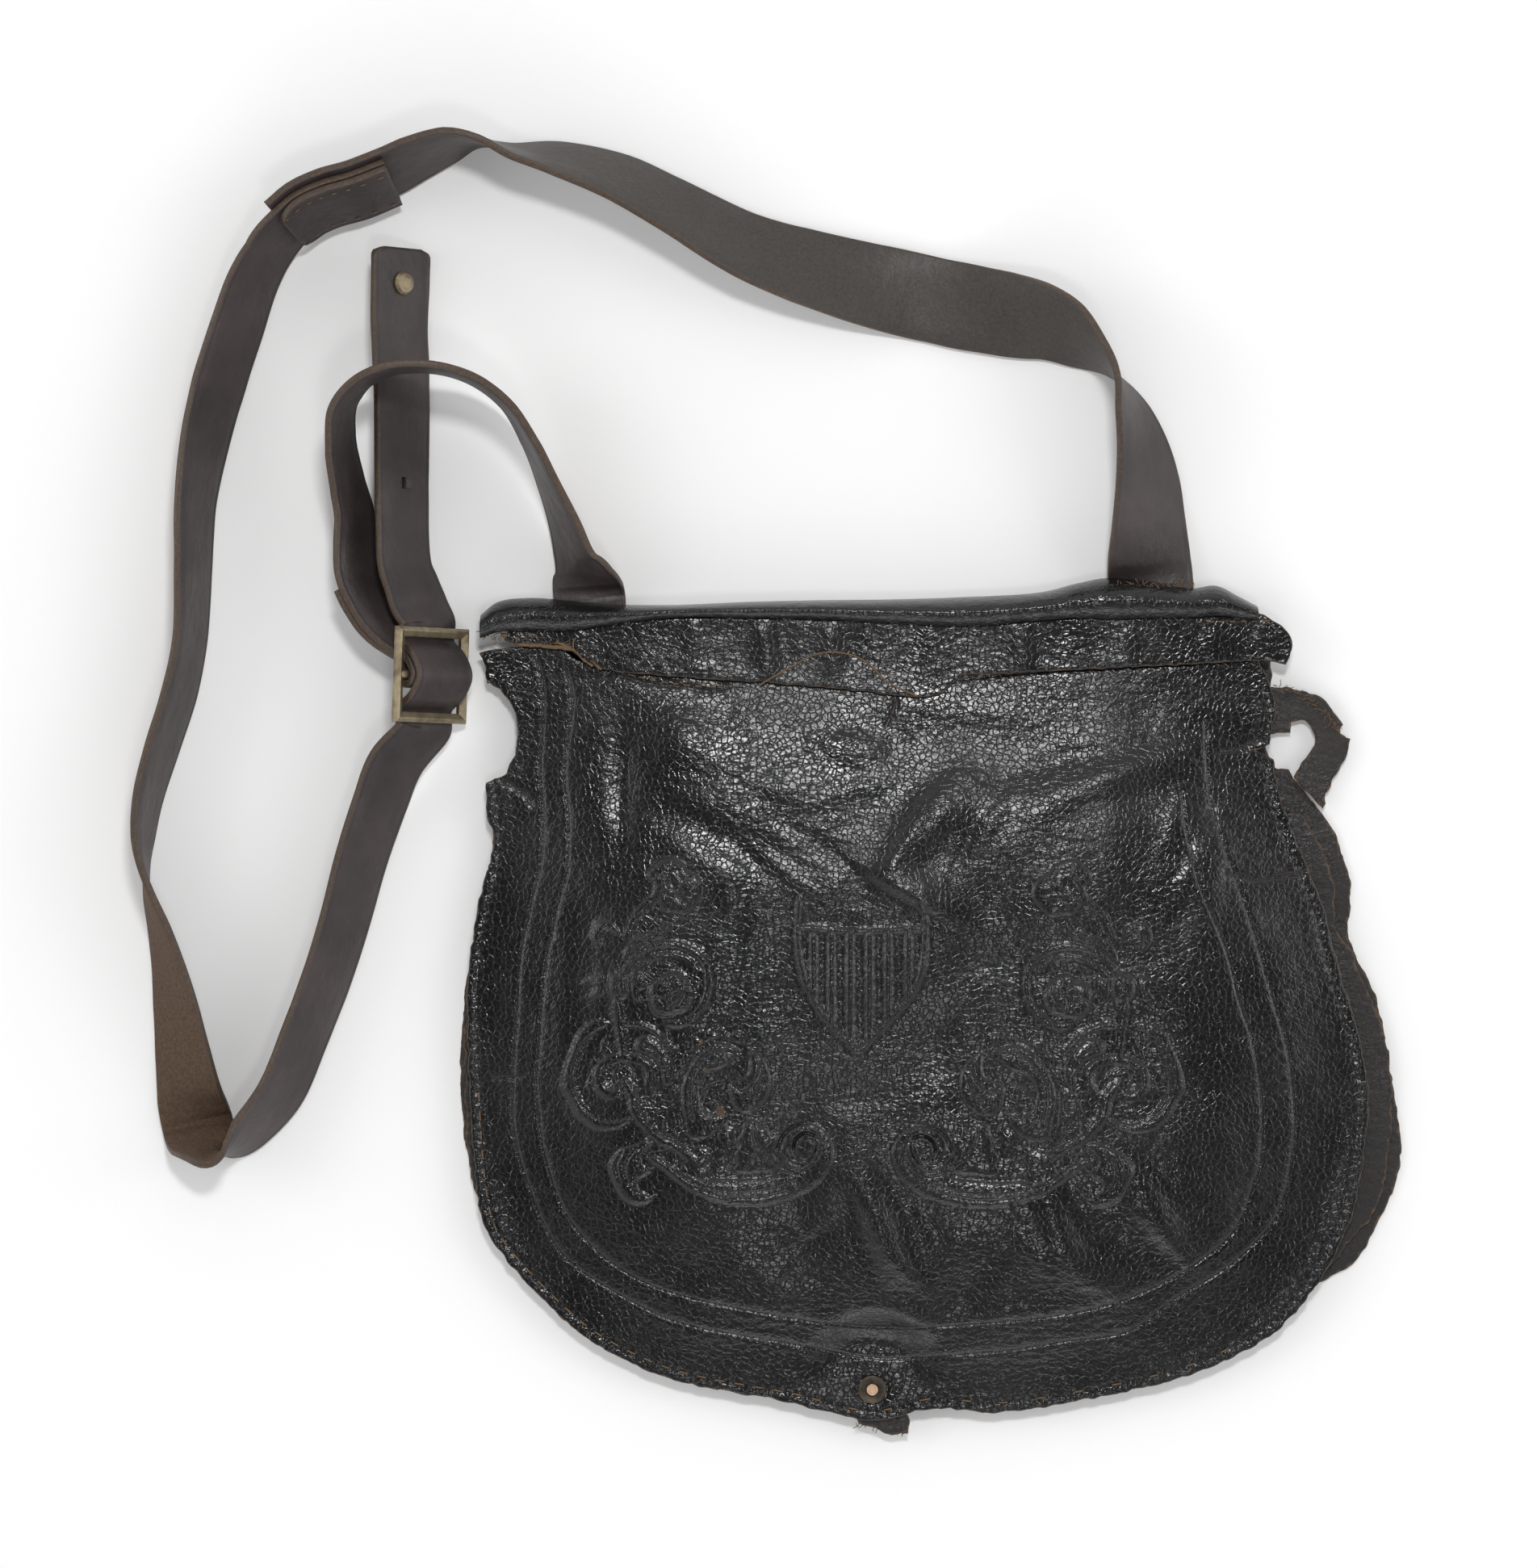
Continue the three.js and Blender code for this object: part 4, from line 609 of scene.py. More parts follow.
# Outline of a flat-walled solid of the frame, in plan
def outline_of(node, tolerance=0.03):
    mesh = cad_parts[node].data
    raw = np.array([v.co for v in mesh.vertices])
    keys = {}
    which = [keys.setdefault(tuple(np.round(p * 1e6).astype(int)), len(keys)) for p in raw]
    points = np.zeros((len(keys), 3))
    points[which] = (raw - BAG_CORNER) / MM
    sides = {}
    for polygon in mesh.polygons:
        upward = polygon.normal.z
        ring = [which[v] for v in polygon.vertices]
        for a, b in zip(ring, ring[1:] + ring[:1]):
            sides.setdefault((min(a, b), max(a, b)), []).append((upward, a, b))
    following = {}
    for pair in sides.values():
        pair.sort()
        if len(pair) == 2 and abs(pair[0][0]) < 0.05 and pair[1][0] > 0.2:
            following[pair[1][1]] = pair[1][2]
    loops = []
    while following:
        start = next(iter(following))
        loop = [start]
        while following.get(loop[-1], start) != start:
            loop.append(following.pop(loop[-1]))
        following.pop(loop[-1], None)
        loops.append(points[loop][:, :2])
    outer = max(loops, key=lambda p: np.ptp(p[:, 0]) * np.ptp(p[:, 1]))
    return drop_straight(outer, tolerance)


def drop_straight(loop, tolerance):
    """Leaves out the points that lie on the straight line between their neighbours."""
    kept = [loop[0]]
    for i in range(1, len(loop)):
        before = kept[-1]
        after = loop[(i + 1) % len(loop)]
        run = after - before
        off = abs(run[0] * (loop[i] - before)[1] - run[1] * (loop[i] - before)[0])
        if off > tolerance * np.linalg.norm(run):
            kept.append(loop[i])
    return np.array(kept)


def rounded(loop, step, corner=32):
    """The loop as smooth curves between its sharp corners, with a point every step."""
    count = len(loop)
    before = loop - np.roll(loop, 1, 0)
    after = np.roll(loop, -1, 0) - loop
    turn = np.degrees(np.abs(np.arctan2(
        before[:, 0] * after[:, 1] - before[:, 1] * after[:, 0], (before * after).sum(1))))
    sharp = [i for i in range(count) if turn[i] > corner] or [0]
    out = []
    for k, first in enumerate(sharp):
        last = sharp[(k + 1) % len(sharp)]
        length = (last - first) % count or count
        run = loop[[(first + i) % count for i in range(length + 1)]]
        out.append(spaced(run, step)[:-1])
    return np.concatenate(out)


def spaced(run, step):
    """Points every step along a smooth curve through the run's points."""
    if len(run) > 2:
        run = catmull(run, 8)[0]
    lengths = np.concatenate([[0], np.cumsum(np.linalg.norm(np.diff(run, axis=0), axis=1))])
    count = max(1, round(lengths[-1] / step))
    at = np.linspace(0, lengths[-1], count + 1)
    return np.stack([np.interp(at, lengths, run[:, k]) for k in range(run.shape[1])], 1)


def catmull(knots, samples):
    """Points and directions along a centripetal curve through the knots."""
    knots = np.asarray(knots, float)
    padded = np.vstack([2 * knots[0] - knots[1], knots, 2 * knots[-1] - knots[-2]])
    points, runs = [], []
    for i in range(len(knots) - 1):
        p0, p1, p2, p3 = padded[i : i + 4]
        d0, d1, d2 = (math.sqrt(np.linalg.norm(b - a)) for a, b in ((p0, p1), (p1, p2), (p2, p3)))
        d0 = d0 or d1
        d2 = d2 or d1
        t1 = ((p1 - p0) / d0 - (p2 - p0) / (d0 + d1) + (p2 - p1) / d1) * d1
        t2 = ((p2 - p1) / d1 - (p3 - p1) / (d1 + d2) + (p3 - p2) / d2) * d1
        c2 = -3 * p1 + 3 * p2 - 2 * t1 - t2
        c3 = 2 * p1 - 2 * p2 + t1 + t2
        last = i == len(knots) - 2
        for s in range(samples + last):
            t = s / samples
            points.append(p1 + t1 * t + c2 * t * t + c3 * t**3)
            runs.append(t1 + 2 * c2 * t + 3 * c3 * t * t)
    runs = np.array(runs)
    return np.array(points), runs / np.linalg.norm(runs, axis=1)[:, None]


def eased(values, samples):
    """Values at the knots, carried smoothly to the samples between them."""
    values = np.asarray(values, float)
    slope = np.gradient(values, axis=0)
    out = []
    for i in range(len(values) - 1):
        last = i == len(values) - 2
        for s in range(samples + last):
            t = s / samples
            h = 2 * t**3 - 3 * t * t + 1
            k = t**3 - 2 * t * t + t
            m = t**3 - t * t
            out.append(values[i] * h + slope[i] * k + values[i + 1] * (1 - h) + slope[i + 1] * m)
    return np.array(out)


def leftward(loop):
    """Unit directions to the left of the way round the loop, at its points."""
    run = np.roll(loop, -1, 0) - np.roll(loop, 1, 0)
    run /= np.maximum(np.linalg.norm(run, axis=1), 1e-9)[:, None]
    return np.stack([-run[:, 1], run[:, 0]], 1)


def inward(loop, distance):
    """The counter-clockwise loop moved in by distance."""
    return loop + distance * leftward(loop)


def inside(points, loop):
    """Which points lie in the loop."""
    out = np.zeros(len(points), bool)
    after = np.roll(loop, -1, 0)
    for start in range(0, len(points), POINTS_AT_ONCE):
        part = points[start : start + POINTS_AT_ONCE]
        px, py = part[:, 0, None], part[:, 1, None]
        crosses = (loop[:, 1] > py) != (after[:, 1] > py)
        rise = np.where(np.abs(after[:, 1] - loop[:, 1]) < 1e-9, 1e-9, after[:, 1] - loop[:, 1])
        at = loop[:, 0] + (py - loop[:, 1]) / rise * (after[:, 0] - loop[:, 0])
        out[start : start + POINTS_AT_ONCE] = (crosses & (px < at)).sum(1) % 2 == 1
    return out


def thinned(points, spacing):
    """One point for each square of that size, the first ones first."""
    cells = np.round(points / spacing).astype(int)
    _, first = np.unique(cells, axis=0, return_index=True)
    return points[np.sort(first)]


def nearest(points, others):
    """How far each point lies from the nearest of the others, in plan."""
    tree = kdtree.KDTree(len(others))
    for i, p in enumerate(others):
        tree.insert((p[0], p[1], 0), i)
    tree.balance()
    return np.array([tree.find((p[0], p[1], 0))[2] for p in points])


def grid_over(loop, cell):
    """Points over the loop's box in rows, each row half a cell aside from the next."""
    low, high = loop.min(0), loop.max(0)
    xs = np.arange(low[0], high[0], cell)
    ys = np.arange(low[1], high[1], cell * 0.87)
    x, y = np.meshgrid(xs, ys)
    x = x + cell / 2 * (np.arange(len(ys)) % 2)[:, None]
    return np.stack([x.ravel(), y.ravel()], 1)


def triangles(loop, points):
    """Plan triangles over the loop and the points: the loop's points first."""
    both = [Vector(p) for p in np.vstack([loop, points])]
    count = len(loop)
    verts, _, faces, origin, _, _ = geometry.delaunay_2d_cdt(
        both, spans(count), [list(range(count))], 1, 1e-6, True)
    place = np.full(len(verts), -1)
    for k, source in enumerate(origin):
        if source:
            place[k] = min(source)
    plan = np.vstack([loop, points])
    made = np.array([[int(place[v]) for v in face] for face in faces if all(place[v] >= 0 for v in face)])
    return plan, made[inside(plan[made].mean(1), loop)].tolist()


# Sheets of leather: how far their edge is rounded, rings round it (moved in, share of the wall down),
# and the cell of the underside and its place from the edge
EDGE_ROUND = 0.45
EDGE_RINGS = ((0.12, 0.12), (0.0, 0.45), (0.08, 0.85))
UNDER_CELL = 6
UNDER_MARGIN = 2


def sheet(name, loop, top, wall, cell, fine=None, wear=None, **looks):
    """A closed sheet of leather over the plan loop, its grain side at the height top(x, y)."""
    inner = inward(loop, EDGE_ROUND)
    margin = inward(loop, EDGE_ROUND + 0.35 * min(cell, 1.5))
    ground = grid_over(loop, cell)
    if fine is not None:
        ground = np.vstack([fine, ground[nearest(ground, fine) > 0.6 * cell]])
    ground = ground[inside(ground, margin)]
    upper, upper_faces = triangles(inner, ground)
    sparse = grid_over(loop, UNDER_CELL)
    lower, lower_faces = triangles(inner, sparse[inside(sparse, inward(loop, UNDER_MARGIN))])
    height = top(upper[:, 0], upper[:, 1])
    rim = nearest(upper, loop)
    if wear:
        rim = wear(upper, rim)
    rings = []
    for depth_in, share in EDGE_RINGS:
        ring = inward(loop, depth_in)
        rings.append(np.column_stack([ring, top(inner[:, 0], inner[:, 1]) - share * wall]))
    under = np.column_stack([lower, top(lower[:, 0], lower[:, 1]) - wall])
    count = len(loop)
    points = np.vstack([np.column_stack([upper, height]), *rings, under])
    starts = [0, len(upper), len(upper) + count, len(upper) + 2 * count, len(upper) + 3 * count]
    faces = list(upper_faces)
    for a, b in zip(starts, starts[1:]):
        faces += [[a + i, b + i, b + j, a + j] for i, j in spans(count)]
    base = starts[-1]
    faces += [[base + v for v in reversed(face)] for face in lower_faces]
    marks = np.concatenate([rim, np.zeros(3 * count), np.full(len(under), 3.0)])
    return make_object(name, points, faces, rim=marks, **looks)


# Ribbons: knots are (point, direction of the width, share of the width, lift or None)
def on_loop(x, y):
    return np.array([
        x * LOOP_LEFT if x < 0 else x * TOP_WIDTH,
        BAG_HEIGHT + (y - 1) * LOOP_UP if y > 1 else y * BAG_HEIGHT,
    ])


def standing(side_rise, normal_rise, width):
    """Height of a laid strap's middle over its lowest edge."""
    return width / 2 * abs(side_rise) + STRAP_WALL / 2 * abs(normal_rise)


def route_knots(table, width):
    plan = np.array([on_loop(row[0], row[1]) for row in table])
    knots = []
    for i, (_, _, roll, rise, seat) in enumerate(table):
        run = plan[min(i + 1, len(plan) - 1)] - plan[max(i - 1, 0)]
        run /= np.linalg.norm(run)
        a = math.radians(roll)
        side = np.array([-run[1] * math.cos(a), run[0] * math.cos(a), math.sin(a)])
        lift = rise * width + seat * SEAT
        point = np.array([*plan[i], lift + standing(side[2], math.cos(a), width)])
        knots.append((point, side, 1.0, lift))
    return knots


def ribbon_frames(knots, width, samples):
    """Middle points, directions, widths' directions, normals and shares along a ribbon."""
    points, runs = catmull([k[0] for k in knots], samples)
    side = eased([k[1] for k in knots], samples)
    side -= (side * runs).sum(1)[:, None] * runs
    side /= np.linalg.norm(side, axis=1)[:, None]
    normal = np.cross(runs, side)
    share = eased([k[2] for k in knots], samples)
    lifts = [k[3] if k[3] is not None else 0.0 for k in knots]
    lift = eased(lifts, samples)
    for i in range(len(points)):
        span = min(i // samples, len(knots) - 2)
        if knots[span][3] is not None and knots[span + 1][3] is not None:
            points[i, 2] = lift[i] + standing(side[i, 2], normal[i, 2], width)
    return points, runs, side, normal, share


def stacked_knots(knots, width, layers):
    points, _, side, normal, _ = ribbon_frames(knots, width, 1)
    return [(p + layers * (STRAP_WALL + GAP) * n, s, 1.0, None) for p, s, n in zip(points, side, normal)]


def unit(vector):
    return vector / np.linalg.norm(vector)


BUCKLE_RUN = np.array([math.sin(math.radians(BUCKLE_TURN)), math.cos(math.radians(BUCKLE_TURN)), 0])
BUCKLE_ACROSS = np.array([
    -BUCKLE_RUN[1] * math.cos(math.radians(BUCKLE_TILT)),
    BUCKLE_RUN[0] * math.cos(math.radians(BUCKLE_TILT)),
    math.sin(math.radians(BUCKLE_TILT)),
])
BUCKLE_OUT = np.cross(BUCKLE_RUN, BUCKLE_ACROSS)
BUCKLE_UNDER = BUCKLE_THICK / 2 + 3 * (STRAP_WALL + GAP) + 3 * GAP
BUCKLE_HEIGHT = STRAP_WIDTH / 2 * BUCKLE_ACROSS[2] + BUCKLE_UNDER * BUCKLE_OUT[2]
BUCKLE_MIDDLE = np.array([*on_loop(*BUCKLE_PLACE), BUCKLE_HEIGHT])
UNDER_END = -(BUCKLE_THICK / 2 + 2 * GAP + STRAP_WALL / 2)
WRAP_RADIUS = CENTRE_BAR_RADIUS + 2 * GAP + STRAP_WALL / 2
OVER_BAR = WRAP_RADIUS + STRAP_WALL + 2 * GAP


def in_buckle(run, over, across=0.0):
    return BUCKLE_MIDDLE + BUCKLE_RUN * run + BUCKLE_OUT * over + BUCKLE_ACROSS * across


THROUGH = [np.array([a * BUCKLE_ALONG, UNDER_END + (OVER_BAR - UNDER_END) * o]) for a, o in THROUGH_BUCKLE]


def buckle_strap_path():
    side = -BUCKLE_ACROSS
    step = STRAP_WALL + 2 * GAP
    upper = THROUGH[OVER_ROW:]
    below = []
    for i, p in enumerate(upper):
        run = np.array([1.0, 0.0]) if i == 0 else unit(upper[min(i + 1, len(upper) - 1)] - upper[i - 1])
        below.append(p + step * np.array([run[1], -run[0]]))
    incoming = route_knots(BUCKLE_STRAP_ROUTE, STRAP_WIDTH)
    incoming += [(in_buckle(*p), side, 1.0, None) for p in reversed(below[:-2])]
    for i in range(WRAP_STEPS):
        a = math.pi / 2 + math.pi * (i + 1) / WRAP_STEPS
        turned = (WRAP_RADIUS * math.cos(a), WRAP_RADIUS * math.sin(a))
        incoming.append((in_buckle(*turned), side, 1.0, None))
    laid = incoming[:-WRAP_STEPS]
    back = stacked_knots(laid, STRAP_WIDTH, -1)[-RETURN_ROWS - 3 : -2]
    return incoming + back[::-1]


shoulder_knots = route_knots(SHOULDER_ROUTE, SHOULDER_WIDTH)
splice_knots = shoulder_knots[-SPLICE_ROWS - 1 :]
free_knots = route_knots(FREE_END_ROUTE, STRAP_WIDTH)
lower_knots = (
    stacked_knots(splice_knots, SHOULDER_WIDTH, 1)
    + route_knots(LOWER_ROUTE, STRAP_WIDTH)
    + [(in_buckle(*p), BUCKLE_ACROSS, 1.0, None) for p in THROUGH]
    + free_knots
)
patch_knots = stacked_knots(splice_knots, SHOULDER_WIDTH, 2)

# Right half of a strap's cross-section, from its grain side over the edge to its flesh side: place
# across in shares of the half width, place over in shares of the half thickness, flesh side 1
HALF_SECTION = [
    (0.1, 1.03, 0),
    (0.5, 1.02, 0),
    (0.84, 1.0, 0),
    (0.87, 0.9, 0),
    (0.9, 1.0, 0),
    (0.96, 1.0, 0),
    (0.99, 0.8, 0.5),
    (1.0, 0.4, 0.5),
    (1.0, -0.4, 0.5),
    (0.99, -0.85, 0.7),
    (0.95, -1.0, 1),
    (0.5, -1.0, 1),
    (0.1, -1.0, 1),
]
GRAIN_POINTS = 6


def whole_section():
    """The strap's section all round, from the left edge of its grain side."""
    left = [(-across, over, flesh) for across, over, flesh in reversed(HALF_SECTION)]
    return left[-GRAIN_POINTS:] + HALF_SECTION + left[:-GRAIN_POINTS]


STRAP_SECTION = whole_section()
TOP_GAP = STRAP_SECTION.index((-0.1, 1.03, 0))
FOOT_GAP = STRAP_SECTION.index((0.1, -1.0, 1))


def hole_walls(first, last, count):
    """Faces round a hole between two rows of a strap's points, through both of its sides."""
    top, top_next, foot, foot_next = TOP_GAP, TOP_GAP + 1, FOOT_GAP, FOOT_GAP + 1
    start = first * count
    end = last * count
    walls = [
        [start + top_next, start + top, start + foot_next, start + foot],
        [end + top, end + top_next, end + foot, end + foot_next],
    ]
    for a in range(start, end, count):
        b = a + count
        walls.append([a + top, b + top, b + foot_next, a + foot_next])
        walls.append([b + top_next, a + top_next, a + foot, b + foot])
    return walls


def strap(name, knots, width, samples=10, end_round=0.0, back_look=1.0, hole=None, **looks):
    """A strap of leather. back_look is 1 for suede and 0.5 for a dark matte back; hole is its knot."""
    points, runs, side, normal, share = ribbon_frames(knots, width, samples)
    lengths = np.concatenate([[0], np.cumsum(np.linalg.norm(np.diff(points, axis=0), axis=1))])
    wobble = 1 + 0.008 * field(lengths, lengths * 0 + 7.5, 9.0)
    if end_round:
        to_end = np.minimum(lengths[-1] - lengths, end_round) / end_round
        share = share * (1 - 0.35 * (1 - np.sqrt(1 - (1 - to_end) ** 2)))
    count = len(STRAP_SECTION)
    rows, rim, flesh = [], [], []
    for i in range(len(points)):
        half = width / 2 * share[i] * wobble[i]
        for across, over, back in STRAP_SECTION:
            rows.append(points[i] + side[i] * half * across + normal[i] * STRAP_WALL / 2 * over)
            rim.append((1 - abs(across)) * half)
            flesh.append(back * back_look)
    faces = []
    opened = range(hole * samples - 1, hole * samples + 2) if hole is not None else ()
    for i in range(len(points) - 1):
        a = i * count
        b = a + count
        kept = [s for s in spans(count) if i not in opened or s[0] not in (TOP_GAP, FOOT_GAP)]
        faces += [[a + k, b + k, b + j, a + j] for k, j in kept]
    if opened:
        faces += hole_walls(opened[0], opened[-1] + 1, count)
    last = (len(points) - 1) * count
    faces.append(list(range(count)))
    faces.append([last + k for k in reversed(range(count))])
    return make_object(name, rows, faces, rim=rim, flesh=flesh, **looks)


# Threads, stitches and the buckle's bar: tubes along paths
def tubes(name, paths, radius, sides=6, **looks):
    points, faces = [], []
    for path in paths:
        path = np.asarray(path, float)
        runs = np.gradient(path, axis=0)
        runs /= np.maximum(np.linalg.norm(runs, axis=1), 1e-9)[:, None]
        first = len(points)
        for i, (p, run) in enumerate(zip(path, runs)):
            helper = np.array([0, 0, 1.0]) if abs(run[2]) < 0.9 else np.array([1.0, 0, 0])
            a = unit(np.cross(run, helper))
            b = np.cross(run, a)
            size = radius * (0.75 if i in (0, len(path) - 1) else 1.0)
            for k in range(sides):
                t = 2 * math.pi * k / sides
                points.append(p + size * (a * math.cos(t) + b * math.sin(t)))
        for i in range(len(path) - 1):
            base = first + i * sides
            faces += [[base + k, base + j, base + sides + j, base + sides + k] for k, j in spans(sides)]
        faces.append([first + k for k in reversed(range(sides))])
        end = first + (len(path) - 1) * sides
        faces.append([end + k for k in range(sides)])
    return make_object(name, points, faces, **looks)


# Materials
def material(name, **sockets):
    made = bpy.data.materials.new(name)
    made.use_nodes = True
    nodes = made.node_tree.nodes
    shader = nodes["Principled BSDF"]
    for socket, value in sockets.items():
        shader.inputs[socket.replace("_", " ")].default_value = value
    return made, nodes, made.node_tree.links, shader


def texture(nodes, links, kind, scale, stretch=None, **settings):
    """A texture node in the object's own coordinates; its scale is repeats a metre."""
    where = nodes.new("ShaderNodeTexCoord").outputs["Object"]
    if stretch:
        turn = nodes.new("ShaderNodeMapping")
        turn.inputs["Rotation"].default_value = (0, 0, math.radians(stretch[0]))
        turn.inputs["Scale"].default_value = (1, stretch[1], 1)
        links.new(where, turn.inputs["Vector"])
        where = turn.outputs["Vector"]
    made = nodes.new("ShaderNodeTex" + kind)
    links.new(where, made.inputs["Vector"])
    made.inputs["Scale"].default_value = scale
    for key, value in settings.items():
        if key == "feature":
            made.feature = value
        else:
            made.inputs[key].default_value = value
    return made


def remap(nodes, links, source, low, high, to_low=0.0, to_high=1.0):
    made = nodes.new("ShaderNodeMapRange")
    for key, value in (("From Min", low), ("From Max", high), ("To Min", to_low), ("To Max", to_high)):
        made.inputs[key].default_value = value
    links.new(source, made.inputs["Value"])
    return made.outputs["Result"]


def mixed(nodes, links, factor, first, second):
    made = nodes.new("ShaderNodeMix")
    made.data_type = "RGBA"
    links.new(factor, made.inputs["Factor"])
    for socket, value in ((6, first), (7, second)):
        if isinstance(value, tuple):
            made.inputs[socket].default_value = (*value, 1)
        else:
            links.new(value, made.inputs[socket])
    return made.outputs[2]


def combined(nodes, links, operation, first, second):
    made = nodes.new("ShaderNodeMath")
    made.operation = operation
    for socket, value in ((0, first), (1, second)):
        if isinstance(value, (int, float)):
            made.inputs[socket].default_value = value
        else:
            links.new(value, made.inputs[socket])
    return made.outputs[0]


def bumped(nodes, links, height, depth, strength=1.0, under=None):
    made = nodes.new("ShaderNodeBump")
    made.inputs["Distance"].default_value = depth
    made.inputs["Strength"].default_value = strength
    links.new(height, made.inputs["Height"])
    if under is not None:
        links.new(under, made.inputs["Normal"])
    return made.outputs["Normal"]


def mark(nodes, name):
    made = nodes.new("ShaderNodeAttribute")
    made.attribute_name = name
    return made.outputs["Fac"]


def leather(name, dark, light, raw, smooth_at, dull_at, grain, edge):
    """Finished leather: two tones, creased grain, and raw fibre along its cut edges.

    smooth_at and dull_at are its least and greatest roughness, grain the strength of its bumps and
    edge the width of its raw edge in millimetres.
    """
    made, nodes, links, shader = material(name)
    mottled = texture(nodes, links, "Noise", 60, Detail=6.0, Roughness=0.65).outputs["Fac"]
    tone = mixed(nodes, links, remap(nodes, links, mottled, 0.35, 0.7), dark, light)
    ragged = texture(nodes, links, "Noise", 420, Detail=4.0).outputs["Fac"]
    wander = remap(nodes, links, ragged, 0.3, 0.7, -edge, edge)
    rim = combined(nodes, links, "ADD", mark(nodes, "rim"), wander)
    worn = remap(nodes, links, rim, 0.0, edge, 1.0, 0.0)
    frayed = mixed(nodes, links, remap(nodes, links, ragged, 0.35, 0.65), raw, tuple(c * 0.35 for c in raw))
    finish = mixed(nodes, links, worn, tone, frayed)
    links.new(finish, shader.inputs["Base Color"])
    cloud = texture(nodes, links, "Noise", 25, Detail=5.0).outputs["Fac"]
    gloss = remap(nodes, links, cloud, 0.35, 0.65, smooth_at, dull_at)
    links.new(combined(nodes, links, "MAXIMUM", gloss, combined(nodes, links, "MULTIPLY", worn, 0.9)),
              shader.inputs["Roughness"])
    pebbles = texture(nodes, links, "Voronoi", 1100, feature="SMOOTH_F1", Smoothness=0.6).outputs["Distance"]
    crazed = texture(nodes, links, "Voronoi", 460, feature="DISTANCE_TO_EDGE").outputs["Distance"]
    wrinkles = texture(nodes, links, "Noise", 240, (28, 1.7), Detail=2.0, Roughness=0.45).outputs["Fac"]
    normal = bumped(nodes, links, wrinkles, grain * 0.0004)
    normal = bumped(nodes, links, remap(nodes, links, crazed, 0.0, 0.12), grain * 0.00008, 0.7, normal)
    normal = bumped(nodes, links, pebbles, grain * 0.00007, 0.5, normal)
    links.new(normal, shader.inputs["Normal"])
    return made


black_leather = leather(
    "black_leather", dark=(0.0045, 0.0045, 0.0052), light=(0.0085, 0.0075, 0.0078), raw=(0.085, 0.052, 0.03),
    smooth_at=0.2, dull_at=0.3, grain=1.0, edge=0.42)
worn_leather = leather(
    "worn_leather", dark=(0.006, 0.005, 0.005), light=(0.014, 0.0095, 0.008), raw=(0.095, 0.056, 0.03),
    smooth_at=0.4, dull_at=0.6, grain=1.4, edge=0.8)


def strap_leather():
    """Strap leather with a smooth grain side, a suede or matte back and brown edges."""
    made, nodes, links, shader = material("strap_leather")
    mottled = texture(nodes, links, "Noise", 45, Detail=7.0, Roughness=0.6).outputs["Fac"]
    grain_side = mixed(nodes, links, remap(nodes, links, mottled, 0.3, 0.7),
                       (0.022, 0.0165, 0.0175), (0.05, 0.036, 0.035))
    fibre = texture(nodes, links, "Noise", 900, Detail=5.0).outputs["Fac"]
    speckle = remap(nodes, links, fibre, 0.3, 0.7)
    suede = mixed(nodes, links, speckle, (0.05, 0.03, 0.018), (0.1, 0.06, 0.035))
    matte = mixed(nodes, links, speckle, (0.026, 0.021, 0.018), (0.048, 0.039, 0.033))
    flesh = mark(nodes, "flesh")
    back = mixed(nodes, links, remap(nodes, links, flesh, 0.6, 0.9), matte, suede)
    tone = mixed(nodes, links, remap(nodes, links, flesh, 0.1, 0.4), grain_side, back)
    wander = remap(nodes, links, fibre, 0.3, 0.7, -0.3, 0.5)
    rim = combined(nodes, links, "ADD", mark(nodes, "rim"), wander)
    edge = mixed(nodes, links, speckle, (0.085, 0.05, 0.028), (0.03, 0.02, 0.014))
    finish = mixed(nodes, links, remap(nodes, links, rim, 0.1, 0.7, 1, 0), tone, edge)
    links.new(finish, shader.inputs["Base Color"])
    cloud = texture(nodes, links, "Noise", 30, Detail=5.0).outputs["Fac"]
    gloss = remap(nodes, links, cloud, 0.3, 0.7, 0.42, 0.6)
    links.new(combined(nodes, links, "MAXIMUM", gloss, combined(nodes, links, "MULTIPLY", flesh, 0.95)),
              shader.inputs["Roughness"])
    wrinkles = texture(nodes, links, "Noise", 260, stretch=(0, 0.6), Detail=2.0, Roughness=0.5).outputs["Fac"]
    pores = texture(nodes, links, "Voronoi", 1300).outputs["Distance"]
    normal = bumped(nodes, links, wrinkles, 0.0004)
    normal = bumped(nodes, links, pores, 0.0001, 0.5, normal)
    normal = bumped(nodes, links, fibre, 0.00012, 0.7, normal)
    links.new(normal, shader.inputs["Normal"])
    return made


def metal(name, bright, tarnish, rough, share, metallic=0.85, core=None):
    """Tarnished metal. core is a bright middle: its colour, place and radius in metres."""
    made, nodes, links, shader = material(name, Metallic=metallic)
    blotch = texture(nodes, links, "Noise", 150, Detail=6.0, Roughness=0.6).outputs["Fac"]
    worn = remap(nodes, links, blotch, share - 0.12, share + 0.12)
    tone = mixed(nodes, links, worn, bright, tarnish)
    if core:
        colour, place, radius = core
        away = nodes.new("ShaderNodeVectorMath")
        away.operation = "DISTANCE"
        away.inputs[1].default_value = place
        links.new(nodes.new("ShaderNodeTexCoord").outputs["Object"], away.inputs[0])
        outside = remap(nodes, links, away.outputs["Value"], radius, radius * 1.15)
        tone = mixed(nodes, links, outside, colour, tone)
    links.new(tone, shader.inputs["Base Color"])
    links.new(remap(nodes, links, blotch, 0.3, 0.7, rough, rough + 0.25), shader.inputs["Roughness"])
    scratches = texture(nodes, links, "Noise", 1500, stretch=(20, 6), Detail=3.0).outputs["Fac"]
    links.new(bumped(nodes, links, scratches, 0.00012, 0.6), shader.inputs["Normal"])
    return made


